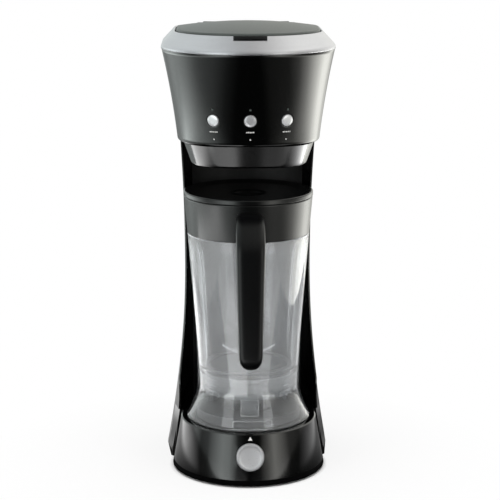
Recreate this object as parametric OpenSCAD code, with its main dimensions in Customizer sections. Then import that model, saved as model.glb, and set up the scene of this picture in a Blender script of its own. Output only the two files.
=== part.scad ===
// Frappe maker: a brewing head on a waisted tower, over a motor base with a twist-on blending pitcher.
// Millimetres. The pitcher's axis is the Z axis, the counter is z = 0 and the front faces -Y.

/* [Base] */
// Radius of the base at its lower edge
base_r = 72.9; // [70:0.1:76]
// Radius of the base at the platform's edge
platform_r = 64.7; // [63:0.1:66]
// Height of the platform above the counter
platform_z = 49.6; // [47:0.1:54]
// Height of the rubber feet
foot_h = 2.5; // [2:0.1:4]
// Radius of one rubber foot
foot_r = 8; // [5:0.5:10]
// Thickness of the bottom cover
cover_t = 2.4; // [1.6:0.1:3]
// Wall thickness of the housing mouldings
wall = 2.6; // [2:0.1:3.2]

/* [Tower] */
// Half width of the tower at its waist
waist_w = 60.3; // [57:0.1:62]
// Height of the waist above the counter
waist_z = 195; // [170:1:215]
// Half width of the tower under the head
tower_top_w = 64; // [61:0.1:65]
// How far the tower's foot stays inside the head's half width, at its rear
foot_in = 0.4; // [0.2:0.1:4]
// Half width of the tower at the counter, at its front edge
tower_front_w = 73.4; // [71:0.1:76]
// Distance from the pitcher's axis to the rear of the rim
rear_y = 92; // [90:0.5:100]
// Radius of the hollow front of the tower, round the pitcher
panel_r = 67; // [65.5:0.1:69]
// Half angle of the tower's front panel, seen from the pitcher's axis
panel_angle = 52; // [44:1:54]
// Radius of the tower's rear corners
tower_corner_r = 24; // [14:1:28]

/* [Head] */
// Height of the head's underside above the counter
head_z = 318; // [312:0.5:324]
// Height of the head's shell
head_h = 83.5; // [80:0.5:90]
// Half width of the head at its underside
head_bottom_w = 65.7; // [65:0.1:68]
// Front reach of the head at its underside
head_bottom_reach = 64.5; // [63:0.1:67]
// Half width and front reach of the head at its top
head_top_r = 80; // [78:0.1:82]
// Inward bow of the head's sides
head_hollow = 1.2; // [0:0.1:2]
// Squareness of the head's front at its underside, where 2 is round
head_square = 2.5; // [2:0.1:3]
// Radius of the head's rear corners
head_corner_r = 38; // [30:1:42]
// Break of the head's lower edge
head_edge = 2.2; // [1:0.1:3]

/* [Outlet neck] */
// Height of the neck under the head
neck_h = 20.5; // [16:0.5:22]
// Half width of the neck at its top
neck_top_w = 60.5; // [57:0.1:62]
// Half width of the neck at its bottom
neck_bottom_w = 53.5; // [50:0.1:56]
// Front reach of the neck at its top
neck_top_reach = 62.5; // [60:0.1:63]
// Front reach of the neck at its bottom
neck_bottom_reach = 58.5; // [55:0.1:60]
// Squareness of the neck's front, where 2 is round
neck_square = 3.8; // [3:0.1:4.5]
// Bore radius of the coffee outlet
outlet_r = 6; // [4:0.5:8]

/* [Rim and lid] */
// Overhang of the silver rim past the head's shell
rim_over = 0.5; // [0.2:0.1:1.5]
// Height of the rim's upright lip
rim_lip = 3; // [2:0.1:4]
// Height of the rim above the head's shell
rim_h = 17; // [16:0.1:19]
// Width of the rim's sloping face
rim_slope_w = 13.3; // [12:0.1:14]
// Gap between the rim and the lid
lid_gap = 1; // [0.6:0.1:1.4]
// Depth of the lid's edge in the rim
lid_edge = 6.5; // [5.5:0.1:7.5]
// Radius of the lid's shallow dome
dome_r = 620; // [500:10:900]
// Distance of the dome's top behind the pitcher's axis
dome_y = 15; // [5:1:25]
// Half width of the finger notch in the rim
notch_w = 15; // [12:0.5:18]
// Radius of the hinge pins
pin_r = 1.8; // [1.5:0.1:2.2]
// Radius of the hinge barrel
barrel_r = 4; // [3.6:0.1:4.5]

/* [Pitcher] */
// Height of the jar's shoulder, where the collar starts
shoulder_z = 229; // [220:0.5:235]
// Outer radius of the jar at its shoulder
shoulder_r = 57.4; // [55:0.1:58]
// Height of the jar's narrowest point
jar_waist_z = 81; // [78:0.5:84]
// Outer radius of the jar at its narrowest point
jar_waist_r = 48.5; // [47.5:0.1:50]
// Outer radius of the jar's skirt at the platform
skirt_r = 59.1; // [57:0.1:61]
// Wall thickness of the jar
jar_wall = 2.6; // [2:0.1:3]
// Height of the jar's floor
jar_floor_z = 100; // [98:0.5:104]
// Radius of the opening in the jar's floor
jar_thread_r = 40.2; // [38:0.1:41]
// Height of the collar round the jar's mouth
collar_h = 35; // [30:0.5:38]
// Outer radius of the collar at its top
collar_top_r = 60.4; // [59:0.1:62]
// Height of the pitcher lid's edge
pitcher_lid_h = 4.6; // [4:0.1:6]
// Radius of the opening that coffee runs through, in the pitcher's lid
inlet_r = 15; // [10:0.5:18]

/* [Handle] */
// Front reach of the handle
handle_reach = 92; // [88:0.5:100]
// Thickness of the handle, front to back
handle_t = 18; // [14:0.5:20]
// Half width of the handle at its top
handle_top_w = 13.4; // [11:0.1:15]
// Half width of the handle near its lower end
handle_low_w = 11.6; // [10:0.1:13]
// Height of the handle's lower end above the counter
handle_low_z = 118; // [110:0.5:130]
// Radius of the handle's upper bend, on its centre line
handle_bend = 24; // [20:0.5:26]

/* [Drive] */
// Radius of the motor's can
motor_r = 26; // [24:0.5:28]
// Height of the motor's can
motor_h = 30; // [27:0.5:31]
// Radius of the motor shaft
shaft_r = 3; // [2.5:0.1:3.5]
// Radius of the drive couplings
coupling_r = 18; // [16:0.5:19]
// Radius of the blade's shaft
blade_shaft_r = 3.5; // [3:0.1:4]
// Reach of the blades
blade_r = 28; // [22:0.5:34]

/* [Buttons] */
// Height of the three mode buttons above the counter
button_z = 342; // [340:0.5:345]
// Radius of a mode button
button_r = 5.9; // [5:0.1:6.5]
// Angle between two mode buttons, round the pitcher's axis
button_step = 28; // [24:0.5:32]
// Travel of a mode button
button_travel = 1.3; // [1:0.1:1.5]
// Height of the indicator lights above the buttons
indicator_up = 10; // [9:0.5:14]
// Height of the release button above the counter
release_z = 28.5; // [26:0.5:31]
// Outer radius of the release button
release_r = 13; // [11:0.1:14]
// Travel of the release button
release_travel = 4; // [3:0.1:4.5]

/* [Brewing] */
// Radius of the brewing well
well_r = 49; // [46:0.5:49]
// Height of the brewing well
well_h = 43; // [38:0.5:46]
// How far the water tank's side lies past the centre of the head's rear corner
tank_past = 4.9; // [2:0.1:4.9]
// Height of the water tank
tank_h = 52; // [46:0.5:53]
// Radius of the hoses
hose_r = 3.5; // [3:0.1:3.8]
// Radius of the flow heater
heater_r = 9; // [7:0.5:9]

/* [Clearances] */
// Gap between pieces that move past each other
run_gap = 0.4; // [0.3:0.05:0.6]
// Radial gap of a pin or shaft in its bore
fit_gap = 0.06; // [0.03:0.01:0.1]
// Gap between fixed mouldings
seam = 0.15; // [0.1:0.05:0.3]

/* [Hidden] */
$fn = 96;

// Length by which a cutting solid runs past what it cuts
cut = 1;
// Segments of a curved outline, of a corner and of a curved height
bow_steps = 28;
corner_steps = 6;
rise_steps = 7;

// Heights and depths that the base shares with what stands on it
edge_z = foot_h - 0.7;
cover_top = foot_h + cover_t;
platform_under = platform_z - wall;
platform_break = 1;
wall_y = rear_y - rim_over;
boss_r = 4.5;
boss_spread = [46, 34];
screw_r = 1.6;
screw_head_r = 3.4;
screw_head_h = 1.5;
screw_bite = 9;
screw_play = 0.2;
screw_ease = 0.1;
foot_front = [28, 52];
foot_rear = [56, 70];

// The tower
tower_foot_w = head_top_r - foot_in;
tower_front_y = 14;
tower_steps = 24;
gland_z = 22;
gland_r = 8;
gland_flange = 2.5;
gland_flange_t = 3;
board_size = [60, 1.6, 80];
board_z = 120;
board_post = 4;
board_part = [13, 9, 22];
board_part_at = [6, 16];
board_part_step = [18, 14];

// The head, its rim and its lid
passage_w = 40;
spout_drop = 2;
head_top = head_z + head_h;
rim_r = head_top_r + rim_over;
rim_top = head_top + rim_h;
rim_in_r = rim_r - rim_slope_w;
rim_ledge = 3;
rim_ledge_t = 2.8;
lid_seat_z = rim_top - lid_edge - run_gap;
lid_r = rim_in_r - lid_gap;
lid_rear = rear_y - rim_slope_w - lid_gap;
lid_low = lid_seat_z + run_gap;
lid_corner_r = head_corner_r - rim_slope_w - lid_gap;
dome_drop = (lid_r + dome_y) * (lid_r + dome_y) / (2 * dome_r);
dome_top = rim_top + 0.5 + dome_drop;
barrel_y = lid_rear + barrel_r + 0.3;
barrel_z = rim_top - 1.5;
barrel_w = 42;
pin_len = 10;
pin_bite = 5;
notch_z = rim_top - 5.2;

// The pitcher and its seat
seat_gap = run_gap + 0.1;
skirt_z = platform_z + seat_gap;
jar_ease = 1.78;
skirt_power = 1.55;
jar_steps = 9;
skirt_steps = 6;
shoulder_ease = 4;
neck_step = 2.9;
jar_neck_r = shoulder_r - neck_step;
jar_neck_wall = 2.5;
collar_z = shoulder_z + collar_h;
jar_top = collar_z - 2;
thread_wall = 2.6;
thread_z = jar_floor_z - 24;
floor_t = 3;
jar_floor_low = jar_floor_z - floor_t;
base_hub_over = 2;
gasket_over = 2;
gasket_in = 3;
gasket_t = 1.2;
plug_r = jar_neck_r - jar_neck_wall - 2 * run_gap;
plug_h = 12;
plug_seal_z = 9;
plug_seal_h = 3;
inlet_h = 8;
inlet_wall = 2;
lid_plate_low = 1;
lid_plate_top = 1.5;
lid_rim_w = 5;
lid_over = 0.3;
blade_base_r = jar_thread_r - seam;
lug_w = 16;
lug_t = 5.6;
lug_reach = 21;
lug_z = thread_z - lug_reach;
pocket_floor = lug_z - run_gap;

handle_bend_z = shoulder_z - 5;

// The lock ring, which the pitcher's lugs turn
ring_z = platform_z + run_gap;
ring_top = pocket_floor + 4.5;
ring_r = 49;
hub_r = 25;
hub_in_r = 22;
hub_top = platform_z + 1.2;
twist = 20;
latch_w = 4;
latch_r = 45.5;
latch_half = 1.8;
latch_bar = 3.4;
latch_top = ring_z + 2;
latch_gap = 0.6;

// The drive
motor_top = platform_under - 4.6;
motor_z = motor_top - motor_h;
bracket_t = 2;
bracket_over = 2;
bracket_reach = 42;
can_wall = 1.5;
magnet_t = 6;
magnet_angle = 130;
magnet_end = 1;
rotor_gap = 2;
shaft_low = cover_top + 1.4;
bearing_r = 8;
bearing_h = 5;
fan_h = 4.6;
fan_r = 20;
fan_hub_r = 7.5;
fan_plate = 1;
fan_vane = 1.2;
fan_vanes = 8;
dog_in = 9;
dog_out = coupling_r - 1;
dog_angle = 30;
dog_h = 6.5;
drive_low = platform_z + 1.2;
drive_top = drive_low + 6;
driven_low = drive_top + dog_h + run_gap + 0.4;
driven_h = 6;
base_hub_r = 11;
bush_r = 8;
blade_z = jar_floor_z + 9;
blade_t = 1.4;
blade_half = 6;
blade_hub_r = 9;
lower_bend = 8;
upper_bend = 28;
nut_h = 5;

// The buttons
flange_over = 1.5;
flange_t = 1.4;
button_proud = 0.8;
button_depth = 6;
switch_h = 4;
switch_gap = button_travel + 0.4;
bracket_plate = 2;
switch_stand = 2.9;
bracket_r = head_reach(button_z) + switch_face() - switch_stand;
lens_r = 1.2;
lens_proud = 0.2;
lens_tail = 1;
release_proud = 1.6;
release_rim = 3;
release_dish = 1.4;
release_break = 0.8;
release_depth = 8;
spring_r = 6.5;
spring_wire = 1.4;
spring_len = 5.8;
rib_y = -53;
rib_t = 2;
interlock_size = [16, 12, 8];
interlock_x = 47;
interlock_y = 2;

// The brewing parts
head_floor = head_z + wall;
well_z = head_floor + 34;
well_wall = 2;
stem_r = outlet_r + 3.5;
stem_foot_r = 20;
basket_gap = 0.7;
basket_wall = 1.6;
basket_top = well_z + well_h + 0.3;
filter_t = 0.8;
filter_taper = 6;
filter_rise = 12;
filter_drop = 4;
hose_bend = 8;
tank_front = 51;
tank_rear = wall_y - wall - 1;
tank_z = head_floor + 26;
tank_w = head_top_r - head_corner_r + tank_past;
tank_wall = 2;
tank_leg_r = 4;
tank_leg_in = 14;
heater_y = 70;
heater_z = head_floor + heater_r + 2;
heater_len = 2 * (tank_w - hose_bend);
heater_foot = 10;
heater_bed = 0.5;
thermostat_r = 7;
hose_wall = 1.2;
hose_out = 5.5;
riser_x = tank_w + hose_out;
arm_z = basket_top + 6;
arm_r = 3.5;
arm_cap = 1;

// Radius of the base's cone at a height
function base_reach(z) = base_r
  - (base_r - platform_r) * (z - edge_z) / (platform_z - platform_break - edge_z);
base_tilt = atan((base_r - platform_r) / (platform_z - platform_break - edge_z));

// Half width of the tower at a height: two arcs that meet at the waist
function tower_w(z) = z < waist_z
  ? waist_w + (tower_foot_w - waist_w) * pow((waist_z - z) / waist_z, 2)
  : waist_w + (tower_top_w - waist_w) * pow((z - waist_z) / (head_z - waist_z), 2);

// Share of the head's height that a level has reached
function head_share(z) = (z - head_z) / head_h;
function bowed(low, high, z) = low + (high - low) * head_share(z)
  - 4 * head_hollow * head_share(z) * (1 - head_share(z));
function head_w(z) = bowed(head_bottom_w, head_top_r, z);
function head_reach(z) = bowed(head_bottom_reach, head_top_r, z);
function head_power(z) = head_square + (2 - head_square) * head_share(z);
// Distance from the axis to the head's front at a height, in the direction of an angle from the front
function head_front(z, turn) = pow(pow(abs(sin(turn)) / head_w(z), head_power(z))
  + pow(cos(turn) / head_reach(z), head_power(z)), -1 / head_power(z));
button_tilt = atan((head_reach(button_z + 5) - head_reach(button_z - 5)) / 10);

// Outer radius of the jar at a height, above and below its narrowest point
function jar_share(z) = (z - jar_waist_z) / (shoulder_z - jar_waist_z);
function skirt_share(z) = (jar_waist_z - z) / (jar_waist_z - skirt_z);
function jar_r(z) = z > jar_waist_z
  ? jar_waist_r + (shoulder_r - jar_waist_r)
    * (jar_ease * pow(jar_share(z), 2) + (1 - jar_ease) * pow(jar_share(z), 3))
  : jar_waist_r + (skirt_r - jar_waist_r) * pow(skirt_share(z), skirt_power);
function levels(from, to, steps) = [for (i = [0:steps]) from + (to - from) * i / steps];

// Points of an arc, of a rounded front and of a closed outline with a rounded front and rear corners
function arc(x, y, r, from, to, steps) =
  [for (i = [0:steps]) let (t = from + (to - from) * i / steps) [x + r * cos(t), y + r * sin(t)]];
function bow(half_w, reach, power) = [for (i = [0:bow_steps]) let (t = 180 + 180 * i / bow_steps)
  [half_w * sign(cos(t)) * pow(abs(cos(t)), 2 / power), -reach * pow(abs(sin(t)), 2 / power)]];
function rear_corners(half_w, rear, r) = concat(
  arc(half_w - r, rear - r, r, 0, 90, corner_steps),
  arc(r - half_w, rear - r, r, 90, 180, corner_steps));
function raised(outline, z) = [for (p = outline) [p[0], p[1], z]];
function head_ring(z, inset) = raised(concat(
  bow(head_w(z) - inset, head_reach(z) - inset, head_power(z)),
  rear_corners(head_w(z) - inset, wall_y - inset, head_corner_r - inset - head_top_r + head_w(z))), z);

// Joins a stack of rings with equal point counts into one closed solid
module loft(rings) {
  n = len(rings[0]);
  last = len(rings) - 1;
  sides = [for (j = [0:last - 1]) for (i = [0:n - 1])
    let (a = j * n + i, b = j * n + (i + 1) % n) each [[a, a + n, b + n], [a, b + n, b]]];
  low = [[for (i = [0:n - 1]) i]];
  high = [[for (i = [n - 1:-1:0]) last * n + i]];
  polyhedron([for (ring = rings) each ring], concat(sides, low, high));
}

module tube(r, bore, h) {
  difference() {
    cylinder(r = r, h = h);
    translate([0, 0, -cut]) cylinder(r = bore, h = h + 2 * cut);
  }
}

// A quarter turn of round hose about the origin in the XZ plane, from a start angle
module hose_elbow(bend, from) {
  rotate([90, 0, 0]) rotate([0, 0, from]) rotate_extrude(angle = 90) translate([bend, 0]) difference() {
    circle(hose_r);
    circle(hose_r - hose_wall);
  }
}

// Places what is drawn outward along Z on the base's front, and on the head's front at a turn
module on_base_front(z) {
  translate([0, -base_reach(z), z]) rotate([90 - base_tilt, 0, 0]) children();
}
module on_head_front(z, turn) {
  rotate([0, 0, turn]) translate([0, -head_front(z, turn), z]) rotate([90 + button_tilt, 0, 0]) children();
}

// Sweeps a half profile round the front of the head, along its sides and round its rear corners
module d_sweep(corner_x, corner_y) {
  rotate([0, 0, 180]) rotate_extrude(angle = 180) children();
  for (m = [0, 1]) mirror([m, 0, 0]) {
    translate([0, corner_y, 0]) rotate([90, 0, 0]) linear_extrude(corner_y) children();
    translate([corner_x, corner_y, 0]) rotate_extrude(angle = 90) translate([-corner_x, 0]) children();
    translate([0, corner_y - corner_x, 0]) rotate([90, 0, 90]) linear_extrude(corner_x) children();
  }
}

// A plate with a round front, straight sides and round rear corners
module d_plate(r, rear, corner, h) {
  rotate([0, 0, 180]) rotate_extrude(angle = 180) square([r, h]);
  translate([-r, 0, 0]) cube([2 * r, rear - corner, h]);
  translate([corner - r, rear - corner, 0]) cube([2 * (r - corner), corner, h]);
  for (m = [0, 1]) mirror([m, 0, 0]) translate([r - corner, rear - corner, 0])
    rotate_extrude(angle = 90) square([corner, h]);
}

// The tower's front view and plan, each drawn in by an inset
module tower_front_view(inset) {
  heights = levels(edge_z - cut, head_z + cut, tower_steps);
  polygon(concat([for (z = heights) [tower_w(z) - inset, z]],
    [for (i = [tower_steps:-1:0]) [inset - tower_w(heights[i]), heights[i]]]));
}
module tower_plan(inset) {
  corner = tower_corner_r - inset;
  polygon(concat([[inset - tower_front_w, tower_front_y], [tower_front_w - inset, tower_front_y]],
    rear_corners(tower_foot_w - inset, wall_y - inset, corner)));
}
module tower_form(inset, low, high) {
  intersection() {
    translate([0, rear_y + cut, 0]) rotate([90, 0, 0]) linear_extrude(rear_y + cut) tower_front_view(inset);
    translate([0, 0, low]) linear_extrude(high - low) tower_plan(inset);
  }
}
module panel_sector(r_in, r_out, half_angle, low, high) {
  translate([0, 0, low]) rotate([0, 0, 90 - half_angle]) rotate_extrude(angle = 2 * half_angle)
    translate([r_in, 0]) square([r_out - r_in, high - low]);
}
module base_cone(grow) {
  rotate_extrude() polygon([[0, edge_z - cut], [base_reach(edge_z - cut) + grow, edge_z - cut],
    [base_reach(platform_z - platform_break) + grow, platform_z - platform_break],
    [platform_r - platform_break + grow, platform_z + grow], [0, platform_z + grow]]);
}
module cover_bosses() {
  for (x = [-1, 1], y = [-1, 1]) translate([x * boss_spread[0], y * boss_spread[1], 0]) children();
}
module motor_bosses() {
  for (i = [0:2]) rotate([0, 0, 90 + 120 * i]) translate([bracket_reach, 0, 0]) children();
}

// Base
module base_shell() color("#17181a") difference() {
  union() {
    rotate_extrude() polygon([[base_reach(edge_z), edge_z],
      [base_reach(platform_z - platform_break), platform_z - platform_break],
      [platform_r - platform_break, platform_z], [hub_r - run_gap, platform_z], [hub_r - run_gap, hub_top],
      [hub_in_r, hub_top], [hub_in_r, platform_z], [bearing_r + seam, platform_z],
      [bearing_r + seam, platform_under], [base_reach(platform_under) - wall, platform_under],
      [base_reach(edge_z) - wall, edge_z]]);
    cover_bosses() translate([0, 0, cover_top]) cylinder(r = boss_r, h = platform_under - cover_top + cut);
    motor_bosses() translate([0, 0, motor_top + bracket_t])
      cylinder(r = boss_r, h = platform_under - motor_top - bracket_t + cut);
    translate([-release_r, rib_y, release_z - release_r]) cube([2 * release_r, rib_t,
      platform_under + cut - release_z + release_r]);
  }
  cover_bosses() translate([0, 0, cover_top - cut]) cylinder(r = screw_r, h = screw_bite + 2 * cut);
  motor_bosses() translate([0, 0, motor_top]) cylinder(r = screw_r, h = platform_under - motor_top + cut);
  on_base_front(release_z) translate([0, 0, -release_depth])
    cylinder(r = release_r + run_gap, h = 2 * release_depth);
  translate([-latch_w - latch_gap, -latch_r - latch_half - latch_gap, platform_under - cut])
    cube([2 * (latch_w + latch_gap), 2 * (latch_half + latch_gap) + release_travel, wall + 2 * cut]);
  translate([-latch_w - latch_gap, rib_y - cut, latch_bar_z() - latch_w - 2 * latch_gap])
    cube([2 * (latch_w + latch_gap), rib_t + 2 * cut, 2 * latch_w + 3 * latch_gap]);
  translate([-rear_y, tower_front_y, edge_z - cut])
    cube([2 * rear_y, rear_y, cover_top + seam - edge_z + cut]);
}
// Height of the latch's bar where it passes the rib
function latch_bar_z() = release_z - (base_reach(release_z) + rib_y) * tan(base_tilt);

module base_plan(inset) {
  circle(base_reach(edge_z) - inset);
  intersection() {
    tower_plan(inset);
    translate([-tower_foot_w, tower_front_y + cut]) square([2 * tower_foot_w, rear_y]);
  }
}
module base_bottom_cover() color("#202124") difference() {
  translate([0, 0, foot_h]) linear_extrude(cover_t) base_plan(wall + 1);
  cover_bosses() translate([0, 0, foot_h - cut]) cylinder(r = screw_r + screw_play, h = cover_t + 2 * cut);
}
module base_feet() color("#2b2b2b") {
  for (x = [-1, 1]) {
    translate([x * foot_front[0], -foot_front[1], 0]) cylinder(r = foot_r, h = foot_h);
    translate([x * foot_rear[0], foot_rear[1], 0]) cylinder(r = foot_r, h = foot_h);
  }
}
module base_cover_screws() color("#8d9095") cover_bosses() {
  translate([0, 0, foot_h - screw_head_h]) cylinder(r = screw_head_r, h = screw_head_h);
  translate([0, 0, foot_h - screw_head_h])
    cylinder(r = screw_r - screw_ease, h = screw_head_h + cover_t + screw_bite);
}

// Tower
module tower_walls() difference() {
  union() {
    difference() {
      tower_form(0, edge_z, head_z);
      difference() {
        tower_form(wall, edge_z - cut, head_z + cut);
        translate([0, 0, platform_z + seam]) cylinder(r = panel_r + wall, h = head_z);
      }
    }
    for (x = [-1, 1], z = [0.1, 0.9]) translate([x * (board_size[0] / 2 - board_post),
      wall_y - wall - board_post, board_z + z * board_size[2]]) rotate([-90, 0, 0])
      cylinder(r = board_post, h = board_post + cut);
  }
  translate([0, 0, platform_z]) cylinder(r = panel_r, h = head_z);
  panel_sector(panel_r - cut, panel_r + wall + cut, panel_angle, platform_z, head_z + cut);
  base_cone(seam);
  translate([0, rear_y, gland_z]) rotate([90, 0, 0])
    cylinder(r = gland_r + seam, h = wall + rim_over + 2 * cut);
}
// Half of the tower, on the side that the sign gives, up to the seam in the middle of the rear wall
module tower_half(side) color("#151618") intersection() {
  tower_walls();
  translate([side > 0 ? seam / 2 : -rear_y - seam / 2, 0, 0]) cube([rear_y, rear_y, head_z]);
}
module tower_left_shell() tower_half(-1);
module tower_right_shell() tower_half(1);
module tower_front_panel() color("#0f1011") {
  panel_sector(panel_r, panel_r + wall, panel_angle - seam, platform_z + 2 * seam, head_z);
}
module cord_gland() color("#222222") difference() {
  translate([0, wall_y, gland_z]) rotate([90, 0, 0]) {
    cylinder(r = gland_r, h = wall + gland_flange_t);
    translate([0, 0, wall]) cylinder(r = gland_r + gland_flange, h = gland_flange_t);
  }
  translate([0, rear_y, gland_z]) rotate([90, 0, 0])
    cylinder(r = gland_r / 2, h = rear_y - wall_y + wall + gland_flange_t + cut);
}
module control_board() color("#2f6b3a") {
  board_y = wall_y - wall - board_post - board_size[1];
  translate([-board_size[0] / 2, board_y, board_z]) cube(board_size);
  for (i = [0:2]) translate([board_part_at[0] + board_part_step[0] * i - board_size[0] / 2,
    board_y - board_part[1], board_z + board_part_at[1] + board_part_step[1] * (i % 2)]) cube(board_part);
}

// Head
module head_shell() color("#141517") difference() {
  loft(concat([head_ring(head_z, head_edge)],
    [for (z = levels(head_z + head_edge, head_top, rise_steps)) head_ring(z, 0)]));
  loft([for (z = levels(head_floor, head_top + cut, rise_steps)) head_ring(z, wall)]);
  translate([0, 0, head_z - cut]) cylinder(r = stem_r + seam, h = wall + 2 * cut);
  translate([-passage_w, panel_r + wall, head_z - cut])
    cube([2 * passage_w, wall_y - panel_r - 3 * wall, wall + 2 * cut]);
  for (i = [-1:1]) {
    on_head_front(button_z, i * button_step) translate([0, 0, -button_depth])
      cylinder(r = button_r + run_gap, h = 2 * button_depth);
    on_head_front(button_z + indicator_up, i * button_step) translate([0, 0, -button_depth])
      cylinder(r = lens_r + seam, h = 2 * button_depth);
  }
}
module neck_form(inset, low, high) {
  loft([for (z = [low, high])
    let (share = (z - head_z + neck_h) / neck_h,
      half_w = neck_bottom_w + (neck_top_w - neck_bottom_w) * share,
      reach = neck_bottom_reach + (neck_top_reach - neck_bottom_reach) * share)
    raised(concat(bow(half_w - inset, reach - inset, neck_square),
      [[half_w - inset, panel_r / 2 - inset], [inset - half_w, panel_r / 2 - inset]]), z)]);
}
module outlet_neck() color("#151618") difference() {
  intersection() {
    neck_form(0, head_z - neck_h, head_z);
    union() {
      translate([0, 0, head_z - neck_h - cut]) cylinder(r = panel_r - seam, h = neck_h + 2 * cut);
      translate([-rear_y, -rear_y, head_z - neck_h - cut]) cube([2 * rear_y, rear_y, neck_h + 2 * cut]);
    }
  }
  intersection() {
    neck_form(wall, head_z - neck_h + wall, head_z + cut);
    union() {
      translate([0, 0, head_z - neck_h - cut]) cylinder(r = panel_r - seam - wall, h = neck_h + 3 * cut);
      translate([-rear_y, -rear_y, head_z - neck_h - cut]) cube([2 * rear_y, rear_y, neck_h + 3 * cut]);
    }
  }
  translate([0, 0, head_z - neck_h - cut]) cylinder(r = stem_r + seam, h = wall + 2 * cut);
}
module outlet_spout() color("#202124") {
  translate([0, 0, head_z - neck_h - spout_drop]) tube(stem_r, outlet_r, neck_h + spout_drop + wall - seam);
}
module top_rim() color("#b9bbc1") difference() {
  d_sweep(rim_r - head_corner_r, rear_y - head_corner_r) polygon([[rim_r, head_top],
    [rim_r, head_top + rim_lip], [rim_in_r, rim_top], [rim_in_r, lid_seat_z],
    [rim_in_r - rim_ledge, lid_seat_z], [rim_in_r - rim_ledge, lid_seat_z - rim_ledge_t],
    [rim_in_r + rim_ledge, lid_seat_z - rim_ledge_t], [rim_r - 2 * wall, head_top]]);
  translate([-notch_w, -rim_r, notch_z]) cube([2 * notch_w, rim_slope_w + lid_gap, rim_h]);
  translate([-barrel_w - run_gap, barrel_y - barrel_r - lid_gap - rim_ledge - cut,
    barrel_z - barrel_r - run_gap])
    cube([2 * (barrel_w + run_gap), rim_slope_w + rim_ledge + 2 * cut + lid_gap, rim_h]);
  for (x = [-1, 1]) translate([x * (barrel_w - pin_bite), barrel_y, barrel_z]) rotate([0, x * 90, 0])
    cylinder(r = pin_r, h = pin_len);
}
module lid_hinge_pins() color("#9a9da3") {
  for (x = [-1, 1]) translate([x * (barrel_w - pin_bite + run_gap), barrel_y, barrel_z])
    rotate([0, x * 90, 0]) cylinder(r = pin_r, h = pin_len - run_gap);
}
module top_lid() color("#6c7472") difference() {
  union() {
    intersection() {
      translate([0, 0, lid_low]) d_plate(lid_r, lid_rear, lid_corner_r, dome_top - lid_low);
      translate([0, dome_y, dome_top - dome_r]) sphere(r = dome_r, $fn = 200);
    }
    translate([-barrel_w, barrel_y, barrel_z]) rotate([0, 90, 0]) cylinder(r = barrel_r, h = 2 * barrel_w);
    translate([-barrel_w, lid_rear - cut, barrel_z - barrel_r / 2])
      cube([2 * barrel_w, barrel_y - lid_rear + cut, barrel_r]);
  }
  for (x = [-1, 1]) translate([x * (barrel_w - pin_bite), barrel_y, barrel_z]) rotate([0, x * 90, 0])
    cylinder(r = pin_r + fit_gap, h = pin_len);
  intersection() {
    translate([0, 0, lid_low - cut])
      d_plate(lid_r - wall, lid_rear - wall, lid_corner_r - wall, dome_top - lid_low);
    translate([0, dome_y, dome_top - dome_r]) sphere(r = dome_r - wall, $fn = 200);
  }
}
module lid_tab() color("#0f1011") {
  tab_t = rim_slope_w / 4;
  translate([run_gap - notch_w, -lid_r - tab_t, notch_z + run_gap]) difference() {
    cube([2 * (notch_w - run_gap), tab_t, rim_top - notch_z - run_gap - lid_gap]);
    translate([notch_w, lid_r + tab_t, -cut]) cylinder(r = lid_r, h = rim_h);
  }
}

// Brewing parts
module brew_well() color("#2a2c2f") difference() {
  rotate_extrude() polygon([[outlet_r, head_floor], [stem_foot_r, head_floor],
    [stem_foot_r, head_floor + wall], [stem_r, head_floor + 2 * wall], [stem_r, well_z],
    [well_r, well_z], [well_r, well_z + well_h],
    [well_r - well_wall, well_z + well_h], [well_r - well_wall, well_z + well_wall],
    [outlet_r, well_z + well_wall]]);
}
module brew_basket() color("#303236") {
  r = well_r - well_wall - basket_gap;
  low = well_z + well_wall + basket_gap;
  rotate_extrude() polygon([[outlet_r / 2, low], [r, low], [r, basket_top], [well_r, basket_top],
    [well_r, basket_top + basket_wall], [r - basket_wall, basket_top + basket_wall],
    [r - basket_wall, low + basket_wall], [outlet_r / 2, low + basket_wall]]);
}
module coffee_filter() color("#c9b98a") {
  r = well_r - well_wall - basket_gap - basket_wall - basket_gap;
  low = well_z + well_wall + basket_gap + basket_wall + basket_gap;
  high = basket_top - filter_drop;
  bend = low + filter_rise;
  floor_r = r - filter_taper;
  rotate_extrude() polygon([[0, low], [floor_r, low], [r, bend], [r, high], [r - filter_t, high],
    [r - filter_t, bend + filter_t], [floor_r - filter_t, low + filter_t], [0, low + filter_t]]);
}
// The tank's plan, drawn in by an inset
module tank_plan(inset) {
  translate([inset - tank_w, tank_front + inset])
    square([2 * (tank_w - inset), tank_rear - tank_front - 2 * inset]);
}
module water_tank() color("#5a6064") {
  difference() {
    translate([0, 0, tank_z]) linear_extrude(tank_h) tank_plan(0);
    translate([0, 0, tank_z + tank_wall]) linear_extrude(tank_h) tank_plan(tank_wall);
    translate([-tank_w - cut, heater_y, supply_z()]) rotate([0, 90, 0])
      cylinder(r = hose_r - hose_wall, h = tank_wall + 2 * cut);
  }
  for (x = [-1, 1], y = [tank_front + tank_leg_r + seam, tank_rear - tank_leg_r - seam])
    translate([x * (tank_w - tank_leg_in), y, head_floor])
      cylinder(r = tank_leg_r, h = tank_z - head_floor + tank_wall);
}
function supply_z() = tank_z + tank_wall + 2 * hose_r;
module flow_heater() color("#a9acb0") {
  translate([-heater_len / 2, heater_y, heater_z]) rotate([0, 90, 0]) tube(heater_r, hose_r, heater_len);
  for (x = [-1, 1]) translate([x * heater_len / 3 - heater_foot / 2, heater_y - heater_r / 2, head_floor])
    difference() {
      cube([heater_foot, heater_r, heater_z - head_floor]);
      translate([-cut, heater_r / 2, heater_z - head_floor]) rotate([0, 90, 0])
        cylinder(r = heater_r - heater_bed, h = heater_foot + 2 * cut);
    }
}
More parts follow.
